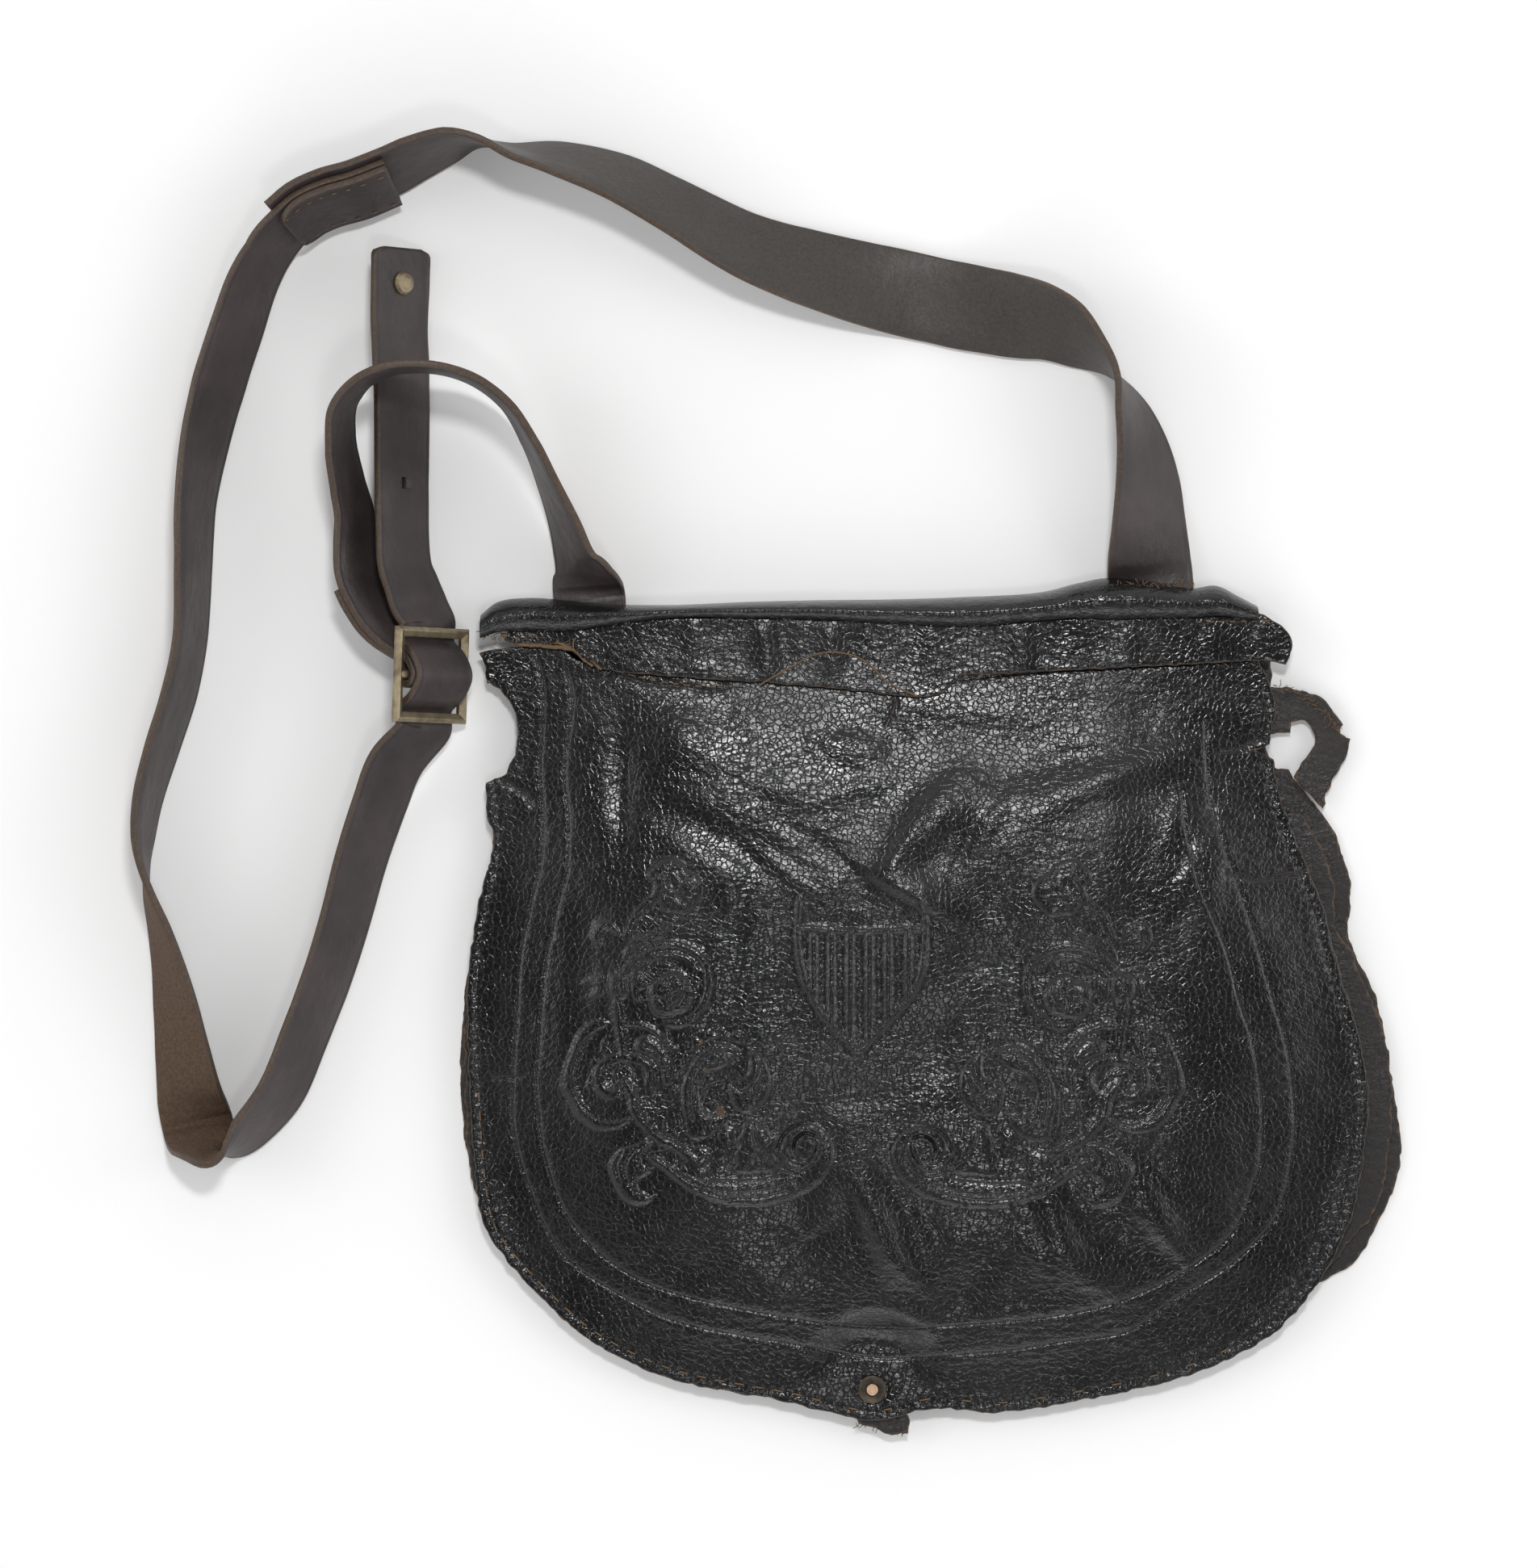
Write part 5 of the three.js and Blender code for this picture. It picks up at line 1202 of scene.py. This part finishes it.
def thread_material():
    """Brown twisted thread."""
    made, nodes, links, shader = material("linen_thread")
    shader.inputs["Roughness"].default_value = 0.85
    twist = texture(nodes, links, "Noise", 1500, Detail=3.0).outputs["Fac"]
    tone = mixed(nodes, links, twist, (0.2, 0.12, 0.06), (0.07, 0.045, 0.025))
    links.new(tone, shader.inputs["Base Color"])
    links.new(bumped(nodes, links, twist, 0.0002), shader.inputs["Normal"])
    return made


strap_brown = strap_leather()
brass = metal("tarnished_brass", (0.34, 0.28, 0.18), (0.17, 0.135, 0.09), 0.26, 0.5, 0.8)
POST_RADIUS = 2.2
stud_top = ((stud_low.x + stud_high.x) / 2, (stud_low.y + stud_high.y) / 2, stud_high.z)
stud_metal = metal("copper_post_in_dark_washer", (0.1, 0.08, 0.055), (0.03, 0.025, 0.02), 0.35, 0.5, 0.6,
                   ((0.55, 0.36, 0.24), stud_top, POST_RADIUS * MM))
linen = thread_material()


# Tooling: the charted strokes of both scrolls, the border and the shield, as fine lines in plan.
# LEAF_SLOPE is how wide a leaf's edge slopes, LIP the place, width and height of the raised lip beside
# a cut, and RELIEF makes all of it stronger. SHIELD_EDGE, SHIELD_RULE and PALE are half width and
# height, PALE_HEAD the pixel row where the pales start, and STAR the radius and height of a star.
LEAF_SLOPE = 1.0
LIP = (0.9, 0.4, 0.1)
RELIEF = 1.35
SHIELD_EDGE = (1.0, 0.9)
SHIELD_RULE = (0.8, 0.7)
PALE = (1.5, 0.95)
PALE_HEAD = 1156
STAR = (0.9, 0.5)

# Stitch holes round the flap
HOLE_INSET = 3.6
HOLE_STEP = 1.2
HOLE_EVERY = 3
HOLE_RADIUS = 0.45
HOLE_DEPTH = 0.9


def mirrored(pixels):
    """The right scroll's pixels on the left side."""
    eye, place, narrower, drop = (MIRROR[key] for key in ("eye", "place", "narrower", "drop"))
    return [(place - (x - eye) * narrower, y + drop) for x, y in pixels]


def line_of(pixels):
    return spaced(on_bag(pixels), 0.6)


def closed_line(pixels):
    loop = on_bag(pixels)
    wrapped = np.vstack([loop[-2:], loop, loop[:2]])
    samples = 5
    smooth_run = catmull(wrapped, samples)[0]
    return smooth_run[2 * samples : (2 + len(loop)) * samples]


def comb_lines():
    (x0, y0), (x1, y1), (dx, dy) = COMB
    return [(*COMB_CUT, [(x0 + i * dx, y0 + i * dy), (x1 + i * dx, y1 + i * dy)]) for i in range(COMB_LINES)]


def both_sides(rows):
    """The rows, each followed by its mirrored copy for the left scroll."""
    out = []
    for row in rows:
        out.append(row)
        out.append((*row[:-1], mirrored(row[-1])))
    return out


leaves = [(height, closed_line(p)) for height, p in both_sides(LEAVES)]
stems = [(half, height, line_of(p)) for half, height, p in both_sides(STEMS)]
veins = [(half, depth, line_of(p)) for half, depth, p in both_sides(VEINS + comb_lines())]
veins += [(*BORDER, line_of(p)) for p in BORDER_LINES]
shield_rim = line_of(SHIELD_RIM)
stems.append((*SHIELD_EDGE, shield_rim))
stems.append((*SHIELD_RULE, line_of(SHIELD_LINE)))
for x, foot in PALES:
    stems.append((*PALE, line_of([(x, PALE_HEAD), (x, foot)])))
star_places = on_bag(STARS)
cracks = [(depth, line_of(p)) for depth, p in CRACKS]


def edge_holes():
    """Stitch holes a little inside the flap's edge, all round but for its upper side."""
    run = inward(rounded(outline_of("flap"), HOLE_STEP), HOLE_INSET)[::HOLE_EVERY]
    return run[run[:, 1] < 0.9 * BAG_HEIGHT]


holes = edge_holes()


def tooling(x, y):
    """Height of the tooled ornament over the flap's surface."""
    points = np.stack([x, y], 1)
    proud = np.zeros(len(points))
    for height, loop in leaves:
        away = distance_to(points, loop, 3.0, closed=True)
        held = np.nonzero((points > loop.min(0) - 1).all(1) & (points < loop.max(0) + 1).all(1))[0]
        within = np.zeros(len(points), bool)
        within[held] = inside(points[held], loop)
        crown = height * (0.55 + 0.45 * smooth(0, 3, away))
        proud = np.maximum(proud, np.where(within, crown * smooth(-0.3, LEAF_SLOPE, away), 0))
        proud -= np.where(within, 0, 0.45 * np.exp(-((away - 0.4) / 0.45) ** 2))
    for half, height, line in stems:
        away = distance_to(points, line, half + 1.5)
        body = height * np.sqrt(np.clip(1 - (away / half) ** 2, 0, 1))
        proud = np.maximum(proud, body) - 0.3 * np.exp(-((away - half - 0.45) / 0.4) ** 2)
    for half, depth, line in veins:
        away = distance_to(points, line, 4 * half + 1)
        lip = LIP[2] * np.exp(-((away - LIP[0]) / LIP[1]) ** 2)
        proud += lip - depth * np.exp(-((away / half) ** 2))
    for star in star_places:
        proud += STAR[1] * np.exp(-((np.hypot(*(points - star).T) / STAR[0]) ** 2))
    proud *= RELIEF
    for hole in holes:
        proud -= HOLE_DEPTH * np.exp(-((np.hypot(*(points - hole).T) / HOLE_RADIUS) ** 2))
    return proud


def cracked(points):
    """How far the leather drops at its tears and cracks."""
    drop = np.zeros(len(points))
    for depth, line in cracks:
        ragged = distance_to(points, line, 3.0) + 0.25 * field(points[:, 0] * 3, points[:, 1] * 3, 2.0)
        drop = np.maximum(drop, depth * np.exp(-((ragged / 0.45) ** 2)))
    return drop


def crack_rim(points, rim):
    """The edge distance, with the raw leather at the cracks and scars counted in."""
    for depth, line in cracks:
        rim = np.minimum(rim, distance_to(points, line, 3.0) * 2.4 / (0.4 + depth))
    for x, y, size in SCARS:
        centre = on_bag([(x, y)])[0]
        away = np.hypot(points[:, 0] - centre[0], (points[:, 1] - centre[1]) * 0.6)
        ragged = away / (size * PIXEL) + 0.6 * field(points[:, 0] * 5, points[:, 1] * 5, 3.0)
        rim = np.minimum(rim, np.maximum(ragged - 0.7, 0))
    return rim


def fine_points():
    """Places for the flap's mesh that follow its tooling and tears."""
    out = []
    for line, offsets in (
        [(loop, (-0.9, -0.4, 0.1, 0.6, 1.2)) for _, loop in leaves]
        + [(line, (-half - 0.5, -half * 0.8, 0, half * 0.8, half + 0.5)) for half, _, line in stems]
        + [(line, (-1.1, -0.5, 0, 0.5, 1.1)) for _, _, line in veins]
        + [(line, (-0.7, -0.3, 0, 0.3, 0.7)) for _, line in cracks]
    ):
        for offset in offsets:
            out.append(inward(line, offset)[1:-1])
    out.append(holes)
    for a in np.linspace(0, 2 * math.pi, 6, endpoint=False):
        out.append(holes + 1.6 * HOLE_RADIUS * np.array([math.cos(a), math.sin(a)]))
    return thinned(np.concatenate(out), 0.42)


# The bag's panels. The crumple's waves have a height and a length in millimetres. UNDER_BAND is where
# the flap passes under the top band, in shares of the bag's height, and STUD_DIMPLE a depth and two radii.
WIDE_WAVES = (1.5, 27)
NARROW_WAVES = (0.8, 13)
SHARP_WAVES = (0.35, 17)
CRUMPLE_SHARE = 0.8
UNDER_BAND = (0.86, 0.92)
FOLD_SHARE = 0.3
WRINKLE_SHARE = 0.32
SURFACE_DROP = 0.25
STUD_DIMPLE = (0.5, 4.5, 8.5)


def crumpled(x, y):
    """Random waves of worn leather, in millimetres."""
    wide = WIDE_WAVES[0] * field(x, y, WIDE_WAVES[1])
    narrow = NARROW_WAVES[0] * field(y, x, NARROW_WAVES[1])
    return wide + narrow + SHARP_WAVES[0] * creases(x, y, SHARP_WAVES[1])


def flap_ground(x, y):
    below_band = 1 - smooth(*UNDER_BAND, y / BAG_HEIGHT)
    crumple = crumpled(x, y) * (0.25 + 0.75 * below_band)
    folded = FOLD_SHARE * FLAP_SLACK * ridges(x, y, FLAP_FOLDS) * (1 - dome(x, y, 1)) * below_band
    wrinkled = FLAP_SLACK * WRINKLE_SHARE * ridges(x, y, WRINKLES)
    lively = 0.2 + 0.8 * dome(x, y, 1)
    stud = np.hypot(x - FLAP_STUD[0] * TOP_WIDTH, y - FLAP_STUD[1] * BAG_HEIGHT)
    depth, inner, outer = STUD_DIMPLE
    dimple = depth * (1 - smooth(inner, outer, stud))
    loose = (CRUMPLE_SHARE * crumple + wrinkled) * lively
    return flap_under(x, y) + FLAP_WALL + folded + loose - SURFACE_DROP - dimple


def flap_top(x, y):
    return flap_ground(x, y) + tooling(x, y) - cracked(np.stack([x, y], 1))


# Puckers of the band: where they start and end up it and their middle, in shares of the bag's height,
# their lean, and their half width in shares of its width
PUCKER_START = (0.9, 0.93)
PUCKER_END = (0.955, 0.985)
PUCKER_MIDDLE = 0.94
PUCKER_LEAN = 0.15
PUCKER_WIDE = 0.014
BAND_CREASES = (0.25, 9)


def band_ground(x, y):
    height = band_top(x, y) + BAND_CREASES[0] * creases(x, y, BAND_CREASES[1])
    across = smooth(*PUCKER_START, y / BAG_HEIGHT) * (1 - smooth(*PUCKER_END, y / BAG_HEIGHT))
    for place, rise in PUCKERS:
        lean = PUCKER_LEAN * (y - PUCKER_MIDDLE * BAG_HEIGHT)
        height += rise * across * np.exp(-(((x + lean) / TOP_WIDTH - place) / PUCKER_WIDE) ** 2)
    return height


def torn(loop, size, reach):
    """The loop with a ragged edge."""
    coarse = field(loop[:, 0] * 3, loop[:, 1] * 3, size)
    fine = field(loop[:, 1] * 7, loop[:, 0] * 7, size)
    jag = reach * (coarse + 0.4 * fine)
    return loop - leftward(loop) * jag[:, None]


def bitten(loop, bites):
    for x, y, half, depth in bites:
        away = np.linalg.norm(loop - on_bag([(x, y)])[0], axis=1)
        loop = inward(loop, (depth * np.exp(-((away / half) ** 4)))[:, None])
    return loop


def panel(name, node, top, wall, cell, jag, look, slot, bites=(), **more):
    """The frame's flat-walled node as a sheet with a torn edge. cell is its mesh's, jag its tears' size."""
    loop = torn(bitten(rounded(outline_of(node), 1.2), bites), 9.0, jag)
    return sheet(name, loop, top, wall, cell, node=node, material=look, slot=slot, **more)


def flat_at(height):
    return lambda x, y: np.full_like(x, height, dtype=float)


panel("flap_leather", "flap", flap_top, FLAP_WALL, 1.7, 0.5, black_leather, "black_leather",
      bites=BITES, fine=fine_points(), wear=crack_rim)
panel("front_leather", "front_panel", front_top, FRONT_WALL, 4, 0.1, black_leather, "black_leather",
      bites=BITES[:1])
panel("band_leather", "top_band", band_ground, BAND_WALL, 1.3, 0.3, black_leather, "black_leather")
panel("back_leather", "back_panel", flat_at(BACK_WALL), BACK_WALL, 4, 0.5, worn_leather, "worn_leather",
      bites=BITES[:1])
panel("tab_leather", "closing_tab", flat_at(FRONT_SEAT + TAB_WALL), TAB_WALL, 1.5, 0.8, worn_leather,
      "worn_leather")
for part in ("gusset_left", "gusset_bottom", "gusset_right", "gusset_torn"):
    panel(part + "_leather", part, gusset_top, GUSSET_WALL, 1.5, 0.7, worn_leather, "worn_leather")


# Rolled top edge: points on its quarter arc, and the edge distance of the three points at its seam,
# where the raw leather shows
ROLL_STEPS = 10
ROLL_RAW = [1.2, 0.7, 0.4]


def roll_piece():
    table = np.array(ROLL)
    fine = catmull(table * np.array([TOP_WIDTH, BAG_HEIGHT, BAG_HEIGHT]), 14)[0]
    steps = np.radians(np.linspace(0, 90, ROLL_STEPS))
    rows, rim = [], []
    for x, outer, inner in fine:
        crest = float(band_top(np.array([x]), np.array([inner]))[0]) + GAP + ROLL_WALL
        reach = (outer - inner) * 0.6
        pucker = 0.35 * field(np.array([x]), np.array([outer]), 7.0)[0]

        def arc(wall):
            top = crest + ROLL_CREST - wall - SEAT
            return [
                (x, outer - wall - (reach - wall) * (1 - math.cos(a)), SEAT + (top + pucker) * math.sin(a))
                for a in steps
            ]

        rows.append(arc(0) + [(x, inner, crest), (x, inner, crest - ROLL_WALL)] + arc(ROLL_WALL)[::-1])
        rim.append([3.0] * (ROLL_STEPS - 1) + ROLL_RAW + [3.0] * ROLL_STEPS)
    count = len(rows[0])
    faces = []
    for i in range(len(rows) - 1):
        a = i * count
        b = a + count
        faces += [[a + k, b + k, b + j, a + j] for k, j in spans(count)]
    last = (len(rows) - 1) * count
    faces.append(list(range(count)))
    faces.append([last + k for k in reversed(range(count))])
    points = [p for row in rows for p in row]
    marks = [m for row in rim for m in row]
    make_object("roll_leather", points, faces, node="top_roll", slot="black_leather",
                material=black_leather, rim=marks)


roll_piece()

# Straps
HOLE_KNOT = len(lower_knots) - len(free_knots) + HOLE_ROW
strap_look = {"slot": "strap_leather", "material": strap_brown}
strap("shoulder_leather", shoulder_knots, SHOULDER_WIDTH, back_look=0.5, node="shoulder_strap", **strap_look)
strap("lower_leather", lower_knots, STRAP_WIDTH, end_round=3.5, hole=HOLE_KNOT, node="lower_strap",
      **strap_look)
strap("short_leather", buckle_strap_path(), STRAP_WIDTH, node="buckle_strap", **strap_look)
strap("splice_leather", patch_knots, STRAP_WIDTH, end_round=9.0, node="splice_patch", **strap_look)


# Threads: stitches between the flap's holes, band and splice stitches, and one loose thread
THREAD_RADIUS = 0.3
LOOSE_THREAD = [(940, 848), (980, 825), (1010, 810), (1040, 808), (1070, 818), (1100, 845), (1135, 862)]
BAND_SEAM = [(1480, 770), (1530, 769), (1580, 768)]
FLAP_SEAM = [(750, 826), (800, 840), (850, 848), (900, 851)]


def stitch(start, end, over):
    """A short thread that comes out of the leather, lies on it and goes back in."""
    path = []
    for t, rise in ((0.0, -0.5), (0.12, 0.15), (0.5, 0.3), (0.88, 0.15), (1.0, -0.5)):
        place = start + (end - start) * t
        path.append((*place, float(over(place[:1], place[1:])[0]) + rise))
    return path


def stitch_row(pixels, over, length=2.4, pitch=4.2):
    run = spaced(on_bag(pixels), 0.6)
    every = round(pitch / 0.6)
    reach = round(length / 0.6)
    return [stitch(run[i], run[i + reach], over) for i in range(0, len(run) - reach, every)]


def edge_stitches():
    """Stitches that are left round the flap's lower left side and its hem."""
    made = []
    for i in range(0, len(holes) - 1, 2):
        start, end = holes[i], holes[i + 1]
        lower_left = start[0] < 0.42 * TOP_WIDTH and start[1] < 0.4 * BAG_HEIGHT
        hem = start[1] < 0.09 * BAG_HEIGHT and i % 4 == 0
        if (lower_left or hem) and np.linalg.norm(end - start) < 2 * HOLE_EVERY * HOLE_STEP:
            made.append(stitch(start, end, flap_ground))
    return made


def splice_stitches():
    """Two rows of stitches along the patch that joins the straps."""
    points, _, side, normal, _ = ribbon_frames(patch_knots, STRAP_WIDTH, 12)
    out = points + normal * (STRAP_WALL / 2 + 0.15)
    made = []
    for edge in (-0.38, 0.38):
        row = out + side * edge * STRAP_WIDTH
        made += [row[i : i + 3] for i in range(2, len(row) - 4, 6)]
    return made


# Torn edges with loose fibres, and what is left of the piping in the roll's open end
FRAYED = [
    [(598, 768), (600, 786), (608, 787), (622, 788)],
    [(622, 789), (665, 792), (705, 799), (740, 826)],
    [(700, 756), (757, 759)],
    [(1372, 724), (1479, 724)],
    [(1582, 850), (1620, 864), (1662, 907)],
    [(1060, 1764), (1120, 1776)],
]
PIPING = [
    [(620, 785), (645, 790), (670, 789), (705, 801)],
    [(640, 797), (680, 800), (716, 806), (744, 828)],
    [(715, 786), (710, 800), (735, 825)],
]
PIPING_RADIUS = 0.8
FIBRE_RADIUS = 0.16
GUSSET_FRAY = SEAT + GUSSET_RISE + GUSSET_WALL


def height_of_fray(x, y):
    on_band = (y > 0.87 * BAG_HEIGHT) & (x < TOP_WIDTH)
    return np.where(on_band, band_ground(x, y) - 0.4, GUSSET_FRAY)


def fibres(pixels):
    """Short fibres that stand out of a torn edge."""
    made = []
    for start in spaced(on_bag(pixels), 0.7):
        turn = rng.uniform(0, 2 * math.pi)
        reach = rng.uniform(1.0, 3.2)
        bend = rng.uniform(-0.7, 0.7)
        middle = start + 0.5 * reach * np.array([math.cos(turn), math.sin(turn)])
        tip = middle + 0.5 * reach * np.array([math.cos(turn + bend), math.sin(turn + bend)])
        plan = np.array([start, middle, tip])
        heights = height_of_fray(plan[:, 0], plan[:, 1]) + np.array([0.0, 0.3, 0.1 + rng.uniform(0, 0.5)])
        made.append(np.column_stack([plan, heights]))
    return made


def piping(pixels):
    """What is left of a piping cord, on a slightly uneven way."""
    run = spaced(on_bag(pixels), 1.0)
    x, y = run[:, 0] * 4, run[:, 1] * 4
    run += 0.3 * np.stack([field(x, y, 5.0), field(y, x, 5.0)], 1)
    return np.column_stack([run, height_of_fray(run[:, 0], run[:, 1]) - 0.3])


loose = spaced(on_bag(LOOSE_THREAD), 1.5)
loose_path = np.column_stack([loose, band_ground(loose[:, 0], loose[:, 1]) + THREAD_RADIUS])
threads = edge_stitches() + stitch_row(BAND_SEAM, band_ground) + stitch_row(FLAP_SEAM, flap_ground)
tubes("stitches", threads + splice_stitches(), THREAD_RADIUS, slot="worn_leather", material=linen)
tubes("loose_thread", [loose_path], THREAD_RADIUS, slot="worn_leather", material=linen)
frayed = [fibre for row in FRAYED for fibre in fibres(row)]
tubes("torn_fibres", frayed, FIBRE_RADIUS, sides=4, slot="worn_leather", material=linen)
tubes("torn_piping", [piping(row) for row in PIPING], PIPING_RADIUS, slot="worn_leather", material=linen)

# Bar of the buckle's frame from outside to inside: share of its width, share of half its thickness
BUCKLE_SECTION = [(0.0, -1.0), (0.0, 0.15), (0.3, 1.0), (0.42, 1.0), (1.0, 0.1), (1.0, -1.0)]


def buckle_piece():
    """A square frame of bevelled bars, mitred at its corners, with a round bar across its middle."""
    half_run = BUCKLE_ALONG / 2
    half_across = STRAP_WIDTH / 2 + BUCKLE_SIDE_PLAY + BUCKLE_BAR
    points, faces = [], []
    count = len(BUCKLE_SECTION)
    for run_way, across_way in ((-1, -1), (1, -1), (1, 1), (-1, 1)):
        for width, over in BUCKLE_SECTION:
            in_from = width * BUCKLE_BAR
            points.append(in_buckle(run_way * (half_run - in_from), over * BUCKLE_THICK / 2,
                                    across_way * (half_across - in_from)))
    for a, b in spans(4):
        faces += [[a * count + k, a * count + j, b * count + j, b * count + k] for k, j in spans(count)]
    bar = [in_buckle(0, 0, t) for t in np.linspace(-half_across + 1, half_across - 1, 9)]
    piece = make_object("buckle_brass", points, faces, node="buckle_frame", slot="brass", material=brass)
    piece.data.polygons.foreach_set("use_smooth", np.zeros(len(faces), bool))
    soften = piece.modifiers.new("soft_edges", "BEVEL")
    soften.width = 0.3 * MM
    soften.segments = 2
    tubes("buckle_bar", [bar], CENTRE_BAR_RADIUS, sides=16, slot="brass", material=brass)


buckle_piece()
for node, look in (("flap_stud", stud_metal), ("strap_stud", brass)):
    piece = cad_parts[node]
    piece.data.materials.clear()
    piece.data.materials.append(look)


# Floor, light and camera. WALL_LIGHT and CEILING_LIGHT are the world's strength below and above the
# two heights of CEILING_START. A light has its name, place, aim, size and power, in metres and watts.
WALL_LIGHT = 0.96
CEILING_LIGHT = 0.02
CEILING_START = (0.55, 0.9)
LIGHTS = [
    ("key", (0.12, 0.85, 2.2), (0.05, 0.0, 0.0), (0.36, 0.24), 20),
    ("lower_key", (0.15, -0.66, 2.3), (0.05, -0.1, 0.0), (0.34, 0.26), 5),
    ("left_fill", (-2.0, 0.3, 1.0), (0.0, 0.0, 0.0), (1.0, 1.0), 8),
    ("right_fill", (2.0, 0.2, 1.0), (0.0, 0.0, 0.0), (1.0, 1.0), 8),
    ("foot_fill", (0.0, -2.0, 0.9), (0.0, 0.0, 0.0), (1.4, 0.8), 6),
]


def stage_floor():
    """A pale floor, 12 metres square."""
    half = 6.0
    mesh = bpy.data.meshes.new("floor")
    corners = [(-half, -half, 0), (half, -half, 0), (half, half, 0), (-half, half, 0)]
    mesh.from_pydata(corners, [], [[0, 1, 2, 3]])
    floor = bpy.data.objects.new("floor", mesh)
    bpy.context.scene.collection.objects.link(floor)
    look, nodes, links, shader = material("pale_floor")
    shader.inputs["Base Color"].default_value = (0.92, 0.92, 0.92, 1)
    shader.inputs["Roughness"].default_value = 0.9
    mesh.materials.append(look)


def soft_light(name, place, aim, size, power):
    data = bpy.data.lights.new(name, "AREA")
    data.shape = "RECTANGLE"
    data.size, data.size_y = size
    data.energy = power
    lamp = bpy.data.objects.new(name, data)
    lamp.location = place
    lamp.rotation_euler = (Vector(aim) - Vector(place)).to_track_quat("-Z", "Y").to_euler()
    bpy.context.scene.collection.objects.link(lamp)


stage_floor()
for light in LIGHTS:
    soft_light(*light)


def studio_world():
    """Bright walls all round and a dim ceiling."""
    world = bpy.data.worlds.new("studio")
    world.use_nodes = True
    nodes = world.node_tree.nodes
    links = world.node_tree.links
    upward = nodes.new("ShaderNodeSeparateXYZ")
    links.new(nodes.new("ShaderNodeTexCoord").outputs["Generated"], upward.inputs[0])
    nodes["Background"].inputs["Color"].default_value = (1, 1, 1, 1)
    level = remap(nodes, links, upward.outputs["Z"], *CEILING_START, WALL_LIGHT, CEILING_LIGHT)
    links.new(level, nodes["Background"].inputs["Strength"])
    bpy.context.scene.world = world


studio_world()
bpy.context.scene.view_settings.view_transform = "Standard"

camera_data = bpy.data.cameras.new("camera")
camera_data.sensor_width = SENSOR_WIDTH
camera_data.lens = camera_data.sensor_width * (CAMERA_HEIGHT - CAMERA_FOCUS_HEIGHT) / PICTURE_LONG
camera = bpy.data.objects.new("camera", camera_data)
camera.location = (0, 0, CAMERA_HEIGHT)
bpy.context.scene.collection.objects.link(camera)
bpy.context.scene.camera = camera
